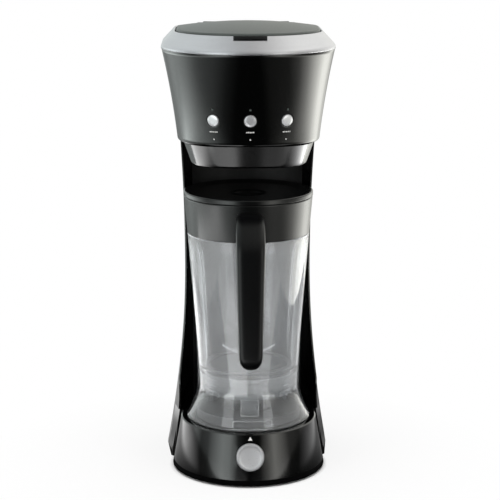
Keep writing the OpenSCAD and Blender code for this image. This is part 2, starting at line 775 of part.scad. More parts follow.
module heater_thermostat() color("#c4a24a") {
  translate([0, heater_y, heater_z + heater_r])
    cylinder(r = thermostat_r, h = tank_z - heater_z - heater_r - cut);
}
module riser_hose() color("#d8d4c8") {
  start = heater_len / 2;
  translate([start, heater_y, heater_z]) rotate([0, 90, 0])
    tube(hose_r, hose_r - hose_wall, riser_x - hose_bend - start);
  translate([riser_x - hose_bend, heater_y, heater_z + hose_bend]) hose_elbow(hose_bend, 270);
  translate([riser_x, heater_y, heater_z + hose_bend])
    tube(hose_r, hose_r - hose_wall, arm_z - arm_r - arm_cap - heater_z - hose_bend);
}
module supply_hose() color("#d8d4c8") {
  start = heater_len / 2;
  bend = riser_x - tank_w;
  mirror([1, 0, 0]) {
    translate([start, heater_y, heater_z]) rotate([0, 90, 0])
      tube(hose_r, hose_r - hose_wall, riser_x - hose_bend - start);
    translate([riser_x - hose_bend, heater_y, heater_z + hose_bend]) hose_elbow(hose_bend, 270);
    translate([riser_x, heater_y, heater_z + hose_bend])
      tube(hose_r, hose_r - hose_wall, supply_z() - bend - heater_z - hose_bend);
    translate([tank_w, heater_y, supply_z() - bend]) hose_elbow(bend, 0);
  }
}
module shower_arm() color("#2a2c2f") {
  reach = norm([riser_x, heater_y]);
  rotate([0, 0, atan2(heater_y, riser_x)]) {
    translate([0, 0, arm_z]) rotate([0, 90, 0]) cylinder(r = arm_r, h = reach);
    translate([0, 0, arm_z - arm_r - arm_cap]) cylinder(r = 2 * arm_r, h = 2 * (arm_r + arm_cap));
    translate([reach, 0, arm_z - arm_r - arm_cap]) cylinder(r = hose_r + arm_cap, h = 2 * (arm_r + arm_cap));
  }
}

// Controls
module switch_bracket() color("#3b3d40") {
  translate([0, 0, head_floor]) rotate([0, 0, 270 - 1.5 * button_step])
    rotate_extrude(angle = 3 * button_step) translate([bracket_r - bracket_plate, 0])
    square([bracket_plate, button_z + 2 * button_r - head_floor]);
}
module touch_switches() color("#1c1c1c") {
  for (i = [-1:1]) difference() {
    on_head_front(button_z, i * button_step)
      translate([0, 0, switch_face() - 3 * switch_h]) cylinder(r = switch_h, h = 3 * switch_h);
    translate([0, 0, head_floor]) cylinder(r = bracket_r, h = head_h);
  }
}
function switch_face() = -button_depth - flange_t - switch_gap;
module indicator_lenses() color("#9fd8c9") {
  for (i = [-1:1]) on_head_front(button_z + indicator_up, i * button_step)
    translate([0, 0, -wall - lens_tail]) cylinder(r = lens_r, h = wall + lens_tail + lens_proud);
}
module mode_button(i) {
  on_head_front(button_z, i * button_step) {
    translate([0, 0, -button_depth]) cylinder(r = button_r, h = button_depth + button_proud);
    translate([0, 0, -button_depth - flange_t]) cylinder(r = button_r + flange_over, h = flange_t);
  }
}
module brew_button() color("#d5d7d9") mode_button(-1);
module frappe_button() color("#d5d7d9") mode_button(0);
module blend_button() color("#d5d7d9") mode_button(1);

// Motor
module motor_can() color("#7d8084") difference() {
  translate([0, 0, motor_z]) cylinder(r = motor_r, h = motor_h);
  translate([0, 0, motor_z - cut]) cylinder(r = motor_r - can_wall, h = motor_h - bearing_h + cut);
  translate([0, 0, motor_z]) cylinder(r = bearing_r + seam, h = motor_h + cut);
}
module motor_end_cap() color("#34363a") difference() {
  translate([0, 0, motor_z]) cylinder(r = motor_r - can_wall - seam, h = bearing_h);
  translate([0, 0, motor_z - cut]) cylinder(r = bearing_r + seam, h = bearing_h + 2 * cut);
}
module motor_magnets() color("#3f3a38") {
  for (side = [0, 180]) rotate([0, 0, side - magnet_angle / 2])
    translate([0, 0, motor_z + bearing_h + magnet_end]) rotate_extrude(angle = magnet_angle)
    translate([motor_r - can_wall - seam - magnet_t, 0])
    square([magnet_t, motor_h - 2 * (bearing_h + magnet_end)]);
}
module motor_bearings() color("#b08d4a") {
  for (z = [motor_z, motor_top - bearing_h]) translate([0, 0, z])
    tube(bearing_r, shaft_r + fit_gap, bearing_h);
}
module motor_bracket() color("#8f9296") translate([0, 0, motor_top]) linear_extrude(bracket_t) difference() {
  union() {
    circle(motor_r + bracket_over);
    motor_bosses() translate([-bracket_reach / 2, -boss_r]) square([bracket_reach / 2 + boss_r, 2 * boss_r]);
  }
  circle(bearing_r + bracket_over);
  motor_bosses() circle(screw_r + screw_play);
}
module motor_screws() color("#8d9095") motor_bosses() {
  translate([0, 0, motor_top - screw_head_h]) cylinder(r = screw_head_r, h = screw_head_h);
  translate([0, 0, motor_top - screw_head_h])
    cylinder(r = screw_r - screw_ease, h = screw_head_h + platform_under - motor_top - seam);
}
module shaft_seal() color("#2c2c2c") {
  translate([0, 0, platform_under]) tube(bearing_r, shaft_r + fit_gap, wall);
}
module rotor_core() color("#8a7a60") {
  translate([0, 0, motor_z + bearing_h + magnet_end]) tube(motor_r - can_wall - seam - magnet_t - rotor_gap,
    shaft_r, motor_h - 2 * (bearing_h + magnet_end));
}
module motor_shaft() color("#c2c5c9") {
  translate([0, 0, shaft_low]) cylinder(r = shaft_r, h = drive_top - 1 - shaft_low);
}
module cooling_fan() color("#3a3d42") difference() {
  fan_z = motor_z - rotor_gap / 2 - fan_h;
  union() {
    translate([0, 0, fan_z]) cylinder(r = fan_hub_r, h = fan_h);
    translate([0, 0, fan_z]) cylinder(r = fan_r, h = fan_plate);
    for (i = [1:fan_vanes]) rotate([0, 0, 360 * i / fan_vanes]) translate([2 * shaft_r, -fan_vane / 2, fan_z])
      cube([fan_r - 2 * shaft_r - fan_plate, fan_vane, fan_h]);
  }
  translate([0, 0, fan_z - cut]) cylinder(r = shaft_r, h = fan_h + 2 * cut);
}
// Three dogs, which leave room for the pitcher's twist between them
module dogs(from) {
  for (i = [0:2]) rotate([0, 0, from + 120 * i - dog_angle / 2]) rotate_extrude(angle = dog_angle)
    translate([dog_in, 0]) square([dog_out - dog_in, dog_h]);
}
module drive_coupling() color("#26272a") {
  difference() {
    translate([0, 0, drive_low]) cylinder(r = coupling_r, h = drive_top - drive_low);
    translate([0, 0, drive_low - cut]) cylinder(r = shaft_r, h = drive_top - 1 - drive_low + cut);
  }
  translate([0, 0, drive_top]) dogs(90);
}
module interlock_switch() color("#4a3030") {
  translate([-interlock_x, interlock_y, platform_under - interlock_size[2]]) cube(interlock_size);
}

// Release button and lock ring
module release_button() color("#c9cbce") on_base_front(release_z) rotate_extrude() polygon([
  [0, -release_depth], [release_r + flange_over, -release_depth],
  [release_r + flange_over, flange_t - release_depth], [release_r, flange_t - release_depth],
  [release_r, release_proud - release_break],
  [release_r - release_break, release_proud], [release_r - release_rim, release_proud],
  [release_r - release_rim - release_break, release_proud - release_dish],
  [0, release_proud - release_dish]]);
module release_latch() color("#34363a") {
  reach = (base_reach(release_z) - latch_r) / cos(base_tilt) - release_depth;
  on_base_front(release_z) translate([-latch_bar, -latch_bar, -release_depth - reach])
    cube([2 * latch_bar, 2 * latch_bar, reach]);
  translate([-latch_w, -latch_r - latch_half, latch_bar_z() - 2 * latch_w])
    cube([2 * latch_w, 2 * latch_half, latch_top - latch_bar_z() + 2 * latch_w]);
}
module release_spring() color("#a0a3a8") {
  on_base_front(release_z) translate([0, 0, -release_depth - spring_len])
    tube(spring_r + spring_wire, spring_r, spring_len);
}
module lock_ring() color("#515457") difference() {
  translate([0, 0, ring_z]) tube(ring_r, hub_r, ring_top - ring_z);
  for (i = [0:2]) rotate([0, 0, 120 * i])
    translate([-lug_w / 2 - run_gap, -blade_base_r - run_gap, pocket_floor])
    cube([lug_w + 2 * run_gap, lug_t + 2 * run_gap, ring_top]);
  latch_turn = asin((latch_w + 2 * latch_gap) / (latch_r - latch_half - release_travel - latch_gap));
  rotate([0, 0, 270 - twist - latch_turn]) translate([0, 0, ring_z - cut])
    rotate_extrude(angle = twist + 2 * latch_turn)
    translate([latch_r - latch_half - release_travel - 2 * latch_gap, 0])
    square([2 * latch_half + release_travel + 3 * latch_gap, latch_top - ring_z + latch_gap + cut]);
}

// Pitcher
module pitcher_jar() color("#dfe6ea", 0.4) {
  inner = jar_neck_r - jar_neck_wall;
  rotate_extrude() polygon(concat(
    [for (z = levels(skirt_z, jar_waist_z, skirt_steps)) [jar_r(z), z]],
    [for (i = [1:jar_steps]) let (z = levels(jar_waist_z, shoulder_z, jar_steps)[i]) [jar_r(z), z]],
    [[jar_neck_r, shoulder_z], [jar_neck_r, jar_top], [inner, jar_top], [inner, shoulder_z]],
    [for (z = levels(shoulder_z - shoulder_ease, jar_floor_z, jar_steps)) [jar_r(z) - jar_wall, z]],
    [[jar_thread_r, jar_floor_z], [jar_thread_r, thread_z], [jar_thread_r + thread_wall, thread_z],
      [jar_thread_r + thread_wall, jar_floor_low], [jar_r(jar_floor_low) - jar_wall, jar_floor_low]],
    [for (z = levels(jar_waist_z, skirt_z, skirt_steps)) [jar_r(z) - jar_wall, z]]));
}
module pitcher_collar() color("#1d1f22") rotate_extrude() polygon([[jar_neck_r + seam, shoulder_z],
  [shoulder_r, shoulder_z], [collar_top_r, collar_z], [jar_neck_r + seam, collar_z]]);

// Rounded cross-section of the handle, square to its centre line at a point
function handle_section(y, z, lean, half_w, half_t) = [for (i = [0:15]) let (t = 22.5 * i, power = 0.62,
    across = half_w * sign(cos(t)) * pow(abs(cos(t)), power),
    through = half_t * sign(sin(t)) * pow(abs(sin(t)), power))
  [across, y + through * cos(lean), z + through * sin(lean)]];
function handle_w(z) = handle_low_w
  + (handle_top_w - handle_low_w) * (z - handle_low_z) / (handle_bend_z - handle_low_z);
module pitcher_handle() color("#1a1a1b") {
  half_t = handle_t / 2;
  bend_y = -handle_reach + half_t + handle_bend;
  bend_z = handle_bend_z;
  tip = half_t;
  drop = bend_z - handle_low_z - tip;
  difference() {
    loft(concat(
      [for (i = [0:4]) let (a = 78 * (1 - i / 4), k = cos(a), z = handle_low_z + tip - tip * sin(a))
        handle_section(-handle_reach + half_t, z, 180, handle_w(z) * k, half_t * k)],
      [for (i = [1:3]) let (z = handle_low_z + tip + drop * i / 4)
        handle_section(-handle_reach + half_t, z, 180, handle_w(z), half_t)],
      [for (i = [0:6]) let (a = 15 * i)
        handle_section(bend_y - handle_bend * cos(a), bend_z + handle_bend * sin(a), 180 - a,
          handle_top_w, half_t)],
      [handle_section(-jar_neck_r, bend_z + handle_bend, 90, handle_top_w, half_t)]));
    rotate_extrude() polygon([[0, shoulder_z - handle_t], [shoulder_r + seam, shoulder_z - handle_t],
      [shoulder_r + seam, shoulder_z], [collar_top_r + seam, collar_z],
      [collar_top_r + seam, collar_z + handle_t], [0, collar_z + handle_t]]);
  }
}
module blade_base() color("#c8cfd4", 0.6) {
  difference() {
    union() {
      rotate_extrude() polygon([[bush_r, thread_z + base_hub_over], [base_hub_r, thread_z + base_hub_over],
        [base_hub_r, jar_floor_low], [blade_base_r - thread_wall, jar_floor_low],
        [blade_base_r - thread_wall, thread_z], [blade_base_r, thread_z], [blade_base_r, jar_floor_z],
        [base_hub_r, jar_floor_z], [base_hub_r, jar_floor_z + base_hub_over],
        [bush_r, jar_floor_z + base_hub_over]]);
      for (i = [0:2]) rotate([0, 0, 120 * i]) intersection() {
        translate([-lug_w / 2, -blade_base_r - cut, lug_z])
          cube([lug_w, lug_t + cut, lug_reach + thread_wall]);
        translate([0, 0, lug_z - cut])
          cylinder(r = blade_base_r - 2 * seam, h = lug_reach + thread_wall + 2 * cut);
      }
    }
    translate([0, 0, thread_z - cut]) cylinder(r = bush_r, h = jar_floor_z);
  }
}
module jar_gasket() color("#8a8f92") {
  translate([0, 0, jar_floor_z]) tube(jar_thread_r + gasket_over, jar_thread_r - gasket_in, gasket_t);
}
module blade_bearing() color("#b08d4a") {
  translate([0, 0, thread_z + base_hub_over])
    tube(bush_r - seam, blade_shaft_r + fit_gap, jar_floor_z - thread_z);
}
module driven_coupling() color("#26272a") {
  difference() {
    translate([0, 0, driven_low]) cylinder(r = coupling_r, h = driven_h);
    translate([0, 0, driven_low - cut]) cylinder(r = blade_shaft_r, h = driven_h + 2 * cut);
  }
  translate([0, 0, driven_low - dog_h]) dogs(30);
}
module blade_shaft() color("#c2c5c9") {
  translate([0, 0, driven_low])
    cylinder(r = blade_shaft_r, h = blade_z + 2 * blade_t + nut_h + cut - driven_low);
}
// One bent blade with two wings, on a hub disc
module blade(z, bend, turn) {
  difference() {
    translate([0, 0, z]) rotate([0, 0, turn]) {
      cylinder(r = blade_hub_r, h = blade_t);
      for (side = [0, 180]) rotate([0, 0, side]) {
        translate([0, -blade_half, 0]) cube([blade_hub_r, 2 * blade_half, blade_t]);
        translate([blade_hub_r, 0, blade_t / 2]) rotate([0, -bend, 0])
          translate([-blade_t / 2, -blade_half, -blade_t / 2])
          cube([blade_r - blade_hub_r, 2 * blade_half, blade_t]);
      }
    }
    translate([0, 0, z - cut]) cylinder(r = blade_shaft_r, h = blade_t + 2 * cut);
  }
}
module lower_blade() color("#c9ccd0") blade(blade_z, -lower_bend, 90);
module upper_blade() color("#c9ccd0") blade(blade_z + blade_t, upper_bend, 0);
module blade_nut() color("#b5b8bc") difference() {
  translate([0, 0, blade_z + 2 * blade_t]) cylinder(r = 2 * blade_shaft_r, h = nut_h, $fn = 6);
  translate([0, 0, blade_z]) cylinder(r = blade_shaft_r, h = 3 * nut_h);
}
module pitcher_lid() color("#1b1d20") {
  low = collar_z + run_gap;
  high = low + pitcher_lid_h;
  under = low - lid_plate_low;
  rim = collar_top_r + lid_over;
  rotate_extrude() polygon([[inlet_r, low - inlet_h], [inlet_r + inlet_wall, low - inlet_h],
    [inlet_r + inlet_wall, under], [plug_r - wall, under], [plug_r - wall, low - plug_h],
    [plug_r, low - plug_h], [plug_r, low], [rim, low], [rim, high - platform_break],
    [rim - platform_break, high], [rim - lid_rim_w, high], [plug_r - wall, low + wall],
    [inlet_r + wall, low + lid_plate_top], [inlet_r, low]]);
}
module lid_gasket() color("#6b6f73") {
  translate([0, 0, collar_z + run_gap - plug_seal_z]) tube(plug_r + run_gap / 2, plug_r, plug_seal_h);
}

base_shell();
base_bottom_cover();
base_feet();
base_cover_screws();
tower_left_shell();
tower_right_shell();
tower_front_panel();
cord_gland();
control_board();
head_shell();
outlet_neck();
outlet_spout();
top_rim();
lid_hinge_pins();
top_lid();
lid_tab();
brew_well();
brew_basket();
coffee_filter();
water_tank();
flow_heater();
heater_thermostat();
supply_hose();
riser_hose();
shower_arm();
switch_bracket();
touch_switches();
indicator_lenses();
brew_button();
frappe_button();
blend_button();
motor_can();
motor_end_cap();
motor_magnets();
motor_bearings();
motor_bracket();
motor_screws();
shaft_seal();
rotor_core();
motor_shaft();
cooling_fan();
drive_coupling();
interlock_switch();
release_button();
release_latch();
release_spring();
lock_ring();
pitcher_jar();
pitcher_collar();
pitcher_handle();
blade_base();
jar_gasket();
blade_bearing();
driven_coupling();
blade_shaft();
lower_blade();
upper_blade();
blade_nut();
pitcher_lid();
lid_gasket();
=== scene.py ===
from math import asin, atan, atan2, copysign, cos, dist, pi, radians, sin, sqrt, tan, tau

import bmesh
import bpy
from mathutils import Matrix, Vector


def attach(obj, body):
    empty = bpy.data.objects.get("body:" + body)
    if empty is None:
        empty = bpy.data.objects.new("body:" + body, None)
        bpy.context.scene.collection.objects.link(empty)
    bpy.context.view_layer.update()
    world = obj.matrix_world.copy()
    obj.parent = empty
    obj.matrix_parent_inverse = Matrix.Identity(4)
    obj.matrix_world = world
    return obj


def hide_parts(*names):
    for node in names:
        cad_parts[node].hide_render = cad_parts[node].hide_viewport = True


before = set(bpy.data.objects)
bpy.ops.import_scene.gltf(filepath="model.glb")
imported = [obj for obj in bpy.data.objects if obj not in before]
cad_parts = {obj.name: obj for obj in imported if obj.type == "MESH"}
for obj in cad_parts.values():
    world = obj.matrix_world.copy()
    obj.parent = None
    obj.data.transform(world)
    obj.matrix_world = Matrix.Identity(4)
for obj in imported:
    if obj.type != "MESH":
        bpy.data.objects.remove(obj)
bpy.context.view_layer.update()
scene = bpy.context.scene
scene.view_settings.view_transform = "Standard"


# Camera: it stands 1.5 m in front of the pitcher's axis, a little to the left and above the lid,
# and looks down at the counter through a lens of 116.8 mm on a sensor of 36 mm.
camera_reach, camera_height = 1.5, 0.532
camera_side, camera_heading, camera_dip = radians(1.5), radians(1.56), 0.211
lens_data = bpy.data.cameras.new("camera")
lens_data.sensor_width, lens_data.lens = 36, 116.8
lens_data.clip_start, lens_data.clip_end = 0.05, 50
camera = bpy.data.objects.new("camera", lens_data)
camera.location = (-camera_reach * sin(camera_side), -camera_reach * cos(camera_side), camera_height)
camera.rotation_euler = (pi / 2 - camera_dip, 0, -camera_heading)
scene.collection.objects.link(camera)
scene.camera = camera


# Counter: a white laminate top. The camera sees it nearly white, with the machine's shadow close round its
# foot, and it fades into the backdrop. Glossy pieces mirror it as a sheet that is bright in places.
def links_of(tree):
    """A function that adds a node and sets its inputs, in order or by name, to values or to other nodes."""
    def add(kind, *sources, **values):
        node = tree.nodes.new(kind)
        for key in [key for key in values if hasattr(node, key)]:
            setattr(node, key, values.pop(key))
        given = list(zip(node.inputs, sources))
        for key, value in values.items():
            label = key.replace("_", " ")
            given.append((next(s for s in node.inputs if s.name == label and s.enabled), value))
        for socket, value in given:
            if isinstance(value, bpy.types.Node):
                value = value.outputs[0]
            if isinstance(value, bpy.types.NodeSocket):
                tree.links.new(value, socket)
            elif value is not None:
                socket.default_value = value
        return node
    return add


def sheet(name, west, east, south, north, z=0.0):
    """A flat sheet of the studio, and the empty node tree of its material."""
    mesh = bpy.data.meshes.new(name)
    corners = [(west, south, z), (east, south, z), (east, north, z), (west, north, z)]
    mesh.from_pydata(corners, [], [(0, 1, 2, 3)])
    material = bpy.data.materials.new(name)
    material.use_nodes = True
    material.node_tree.nodes.clear()
    mesh.materials.append(material)
    piece = bpy.data.objects.new(name, mesh)
    scene.collection.objects.link(piece)
    return piece, material.node_tree


def mixed(add, share, one, two):
    """A colour between two others."""
    return add("ShaderNodeMix", data_type="RGBA", Factor=share, A=one, B=two).outputs[2]


def spanned(add, source, low, high, to_low=0.0, to_high=1.0, **how):
    """A value carried from one span to another, and held at its ends."""
    return add("ShaderNodeMapRange", source, low, high, to_low, to_high, **how)


def ramp_over(add, source, stops):
    """A colour ramp over 0 to 1 through (place, colour) stops."""
    ramp = add("ShaderNodeValToRGB", source)
    for _ in stops[2:]:
        ramp.color_ramp.elements.new(0.5)
    for stop, (place, colour) in zip(ramp.color_ramp.elements, stops):
        stop.position, stop.color = place, (*colour, 1)
    return ramp.outputs["Color"]


def sheen_across(add, stops, dim_y, full_y, dimmed=0.0):
    """What a sheet shows in mirroring pieces: levels by how far to the side, dimmed in front of full_y."""
    aside = add("ShaderNodeSeparateXYZ", add("ShaderNodeTexCoord").outputs["Object"])
    along = spanned(add, aside.outputs["X"], -0.5, 0.5)
    brightest = max(level for _, level in stops)
    ramp = ramp_over(add, along, [(x + 0.5, [level / brightest] * 3) for x, level in stops])
    behind = spanned(add, aside.outputs["Y"], dim_y, full_y, dimmed * brightest, brightest)
    return add("ShaderNodeEmission", ramp, behind)


counter_half, counter_front, counter_rear = 0.5, -0.24, 0.6
shadow_r, shadow_end, shadow_kept, contact_r, contact_end = 0.09, 0.26, 0.82, 0.0725, 0.0765
counter, tree = sheet("counter", -counter_half, counter_half, counter_front, counter_rear)
add = links_of(tree)
rays = add("ShaderNodeLightPath").outputs
place = add("ShaderNodeTexCoord").outputs["Object"]
haze = add("ShaderNodeTexNoise", Vector=place, Scale=6, Detail=3)
pale = mixed(add, haze.outputs["Fac"], (0.86, 0.86, 0.86, 1), (0.9, 0.9, 0.89, 1))
laminate = add("ShaderNodeBsdfDiffuse", pale)
glow = add("ShaderNodeEmission", (1, 1, 1, 1), 1)
seen = add("ShaderNodeMath", rays["Is Camera Ray"], rays["Is Transmission Ray"], operation="MAXIMUM")
spread = add("ShaderNodeVectorMath", place, operation="LENGTH").outputs["Value"]
fade = spanned(add, spread, shadow_r, shadow_end, shadow_kept)
contact = spanned(add, spread, contact_r, contact_end)
lifted = add("ShaderNodeMath", fade, contact, operation="MULTIPLY")
share = add("ShaderNodeMath", seen, lifted, operation="MULTIPLY")
blend = add("ShaderNodeMixShader", share, laminate, glow)
levels = ((-0.46, 0.5), (-0.32, 1.7), (-0.2, 2.4), (-0.15, 0.6), (-0.1, 0.4), (0.1, 0.15), (0.15, 0.25),
          (0.2, 1.0), (0.32, 0.6), (0.46, 0.3))
sheen = sheen_across(add, levels, dim_y=-0.08, full_y=0.06, dimmed=0.05)
faced = add("ShaderNodeMixShader", rays["Is Glossy Ray"], blend, sheen)
add("ShaderNodeOutputMaterial", faced)


# Studio: a white backdrop. What mirrors the room sees it dark behind the camera, bright at both sides and dim
# above. Two softboxes stand in front and one hangs overhead. A card lies on the counter in front, two hang
# beside the outlet neck and one beside the pitcher's collar, and only glossy pieces see them.
world = bpy.data.worlds.new("studio")
scene.world = world
world.use_nodes = True
world.node_tree.nodes.clear()
add = links_of(world.node_tree)
rays = add("ShaderNodeLightPath").outputs
axes = add("ShaderNodeSeparateXYZ", add("ShaderNodeTexCoord").outputs["Generated"]).outputs
ahead = add("ShaderNodeMath", axes["Y"], -1, operation="MULTIPLY")
heading = add("ShaderNodeMath", axes["X"], ahead, operation="ARCTAN2")
around = spanned(add, heading, -pi, pi)
strips = ((-180, 0.1), (-150, 1), (-122, 2.7), (-100, 1.5), (-84, 0.4), (-70, 0.6), (-43, 3), (-31, 2.6),
          (-19, 0.25), (-9, 0.02), (17, 0.02), (28, 0.9), (40, 2.4), (66, 0.4), (90, 0.2), (116, 1.1),
          (143, 2.8), (160, 0.6), (180, 0.1))
room = (
    (-0.29, ((-180, 0.1), (-150, 0.5), (-130, 1.2), (-110, 1), (-90, 0.75), (-50, 0.45), (-28, 0.1), (-12, 0),
             (14, 0), (26, 0.08), (55, 0.13), (72, 0.5), (88, 1.8), (104, 4.6), (125, 6), (150, 1.5),
             (180, 0.1))),
    (-0.245, ((-180, 0.1), (-155, 0.6), (-134, 3.4), (-116, 5.6), (-94, 4.4), (-76, 2.8), (-60, 1.8),
              (-34, 1), (-18, 0.28), (-8, 0.06), (14, 0.05), (30, 0.35), (60, 0.85), (76, 2.2), (94, 4),
              (116, 5.5), (140, 3), (155, 0.8), (180, 0.1))),
    (-0.12, strips), (0.13, strips),
    (0.4, ((-180, 0.9), (-150, 1), (-100, 0.9), (-40, 0.5), (0, 0.3), (40, 0.5), (100, 1.1), (150, 1.4),
           (180, 0.9))))
tint_left, tint_right, brightest, fill_level = (0.93, 1.0, 0.98), (1.0, 1.0, 0.94), 7.0, 0.42
room_lift, least_width, ceiling_from, ceiling_full = 0.1, 0.2, 0.25, 0.75


def lit_along(source, stops):
    """A colour ramp over -1 to 1 that holds light levels, tinted by their side."""
    return ramp_over(add, source, [
        ((along + 1) / 2, [level * c / brightest for c in (tint_left if along < 0 else tint_right)])
        for along, level in stops])


raised = add("ShaderNodeMath", axes["Z"], room_lift, operation="ADD")
half = add("ShaderNodeMath", heading, 0.5, operation="MULTIPLY")
turned_off = add("ShaderNodeMath", half, operation="COSINE")
narrowed = add("ShaderNodeMath", turned_off, least_width, operation="MAXIMUM")
aloft = add("ShaderNodeMath", raised, narrowed, operation="DIVIDE")
mirrored = below = None
for height, stops in room:
    row = lit_along(around, [(degrees / 180, level) for degrees, level in stops])
    if mirrored is not None:
        row = mixed(add, spanned(add, aloft, below, height), mirrored, row)
    mirrored, below = row, height
across = spanned(add, axes["X"], -1, 1)
ceiling = lit_along(across, ((-0.6, 1.05), (-0.3, 0.7), (0, 0.38), (0.3, 0.8), (0.6, 1.5)))
high = spanned(add, axes["Z"], ceiling_from, ceiling_full, interpolation_type="SMOOTHSTEP")
overhead = mixed(add, high, mirrored, ceiling)
looked = add("ShaderNodeMath", rays["Is Camera Ray"], rays["Is Transmission Ray"], operation="MAXIMUM")
glow = add("ShaderNodeBackground", overhead, brightest)
fill = add("ShaderNodeBackground", (1, 1, 1, 1), fill_level)
backdrop = add("ShaderNodeBackground", (1, 1, 1, 1), 1)
lit = add("ShaderNodeMixShader", rays["Is Glossy Ray"], fill, glow)
shown = add("ShaderNodeMixShader", looked, lit, backdrop)
add("ShaderNodeOutputWorld", shown)

for name, place, target, size, power in (
        ("softbox_left", (-0.86, -0.86, 0.38), (0, 0, 0.3), (0.5, 1.1), 6.0),
        ("softbox_right", (0.80, -0.92, 0.38), (0, 0, 0.3), (0.42, 1.1), 4.8),
        ("softbox_top", (0, -0.2, 1.5), (0, 0.02, 0.3), (1.3, 0.9), 14)):
    box = bpy.data.lights.new(name, "AREA")
    box.shape, box.size, box.size_y, box.energy = "RECTANGLE", size[0], size[1], power
    lamp = bpy.data.objects.new(name, box)
    lamp.location = place
    lamp.rotation_euler = (Vector(target) - Vector(place)).to_track_quat("-Z", "Y").to_euler()
    lamp.visible_glossy = False
    scene.collection.objects.link(lamp)

cards, card_fade = {}, 0.09
for name, (west, east, south, north, z), stops in (
        ("front_card", (-0.5, 0.5, -0.47, -0.24, 0.001),
         ((-0.4, 0.5), (-0.3, 1.5), (-0.18, 2.1), (-0.08, 2.5), (-0.03, 2.6), (-0.012, 0), (0.02, 0),
          (0.06, 0.7), (0.15, 0.6), (0.3, 1), (0.4, 0.5))),
        ("left_card", (-0.35, -0.09, -0.27, 0.1, 0.2), ((-0.25, 4.5), (-0.17, 4.2), (-0.13, 1.5), (-0.1, 0))),
        ("right_card", (0.09, 0.35, -0.27, 0.1, 0.2),
         ((0.1, 0), (0.13, 0.5), (0.17, 2.7), (0.2, 6), (0.25, 7))),
        ("collar_card", (-0.5, -0.11, -0.37, 0.12, 0.1),
         ((-0.42, 3.6), (-0.36, 3.2), (-0.27, 1.6), (-0.15, 0.6), (-0.12, 0)))):
    card, tree = sheet(name, west, east, south, north, z)
    add = links_of(tree)
    faced = add("ShaderNodeMath", add("ShaderNodeLightPath").outputs["Is Glossy Ray"],
                add("ShaderNodeNewGeometry").outputs["Backfacing"], operation="SUBTRACT", use_clamp=True)
    sheen = sheen_across(add, stops, south, south + card_fade)
    shown = add("ShaderNodeMixShader", faced, None, sheen)
    sheer = add("ShaderNodeAddShader", shown, add("ShaderNodeBsdfTransparent"))
    add("ShaderNodeOutputMaterial", sheer)
    cards[name] = card


# Base: a cone moulded in polished black with a flat seat for the pitcher, which keeps its CAD shape. A dull
# black band with almost no sheen lies round its lower edge and keeps it dark. Cover, feet and screws close it
# below.
MM = 0.001
base_r, platform_r, platform_break, platform_z, edge_z = 72.9, 64.7, 1.0, 49.6, 1.8
band_low, band_top, band_bevel, band_rise, band_sunk, band_turn = 1.85, 6.8, 0.4, 0.14, 0.25, 100
wear_from, wear_full, wear_pale, wear_gain = 0.53, 0.64, 0.12, 1.2
cloud_scale, grain_low, grain_high = 28, 0.3, 0.7


def finish(name, colour, drift, rough, grain_mm, relief_mm, worn=0.0, stretch=(1, 1, 1), **shader):
    """A moulded or metal finish: drifting colour, gloss and relief by a fine grain, and worn edges."""
    material = bpy.data.materials.new(name)
    material.use_nodes = True
    material.node_tree.nodes.clear()
    add = links_of(material.node_tree)
    laid = add("ShaderNodeMapping", Vector=add("ShaderNodeTexCoord").outputs["Object"], Scale=stretch)
    cloud = add("ShaderNodeTexNoise", Vector=laid, Scale=cloud_scale, Detail=5).outputs["Fac"]
    grain = add("ShaderNodeTexNoise", Vector=laid, Scale=1000 / grain_mm, Detail=3).outputs["Fac"]
    tone = mixed(add, cloud, (*colour, 1), (*drift, 1))
    if worn:
        bend = add("ShaderNodeNewGeometry").outputs["Pointiness"]
        edge = spanned(add, bend, wear_from, wear_full, to_high=worn)
        rubbed = add("ShaderNodeMath", edge, cloud, operation="MULTIPLY")
        paler = (*[min(1, wear_pale + wear_gain * c) for c in colour], 1)
        tone = mixed(add, rubbed, tone, paler)
    gloss = spanned(add, grain, grain_low, grain_high, *rough)
    relief = add("ShaderNodeBump", Height=grain, Strength=0.6, Distance=relief_mm * MM)
    surface = add("ShaderNodeBsdfPrincipled", Base_Color=tone, Roughness=gloss, Normal=relief, **shader)
    add("ShaderNodeOutputMaterial", surface)
    return material


def painted(finish_of_slot, *nodes):
    """Gives CAD nodes that keep their shape a finish of this scene."""
    for node in nodes:
        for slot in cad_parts[node].material_slots:
            slot.material = finish_of_slot


def base_reach(z):
    """Radius of the base's cone at a height."""
    return base_r - (base_r - platform_r) * (z - edge_z) / (platform_z - platform_break - edge_z)


def skin(rings, ends="joined"):
    """Points and faces through rings with equal point counts, whose ends are joined, capped or left open."""
    count, total = len(rings[0]), len(rings)
    faces = [(i * count + k, i * count + (k + 1) % count, (i + 1) % total * count + (k + 1) % count,
              (i + 1) % total * count + k) for i in range(total - (ends != "joined")) for k in range(count)]
    if ends == "capped":
        faces += [tuple(range(count))[::-1], tuple(range(count * (total - 1), count * total))]
    return [p for ring in rings for p in ring], faces


def moulding(name, shape, material, crease=32):
    """A piece from points in millimetres and faces, with smooth faces that part at its creases."""
    mesh = bpy.data.meshes.new(name)
    mesh.from_pydata([(x * MM, y * MM, z * MM) for x, y, z in shape[0]], [], shape[1])
    work = bmesh.new()
    work.from_mesh(mesh)
    bmesh.ops.remove_doubles(work, verts=work.verts, dist=1e-6)
    bmesh.ops.dissolve_degenerate(work, edges=work.edges, dist=1e-7)
    bmesh.ops.recalc_face_normals(work, faces=work.faces)
    work.to_mesh(mesh)
    work.free()
    mesh.shade_smooth()
    mesh.set_sharp_from_angle(angle=radians(crease))
    mesh.materials.append(material)
    piece = bpy.data.objects.new(name, mesh)
    scene.collection.objects.link(piece)
    return piece


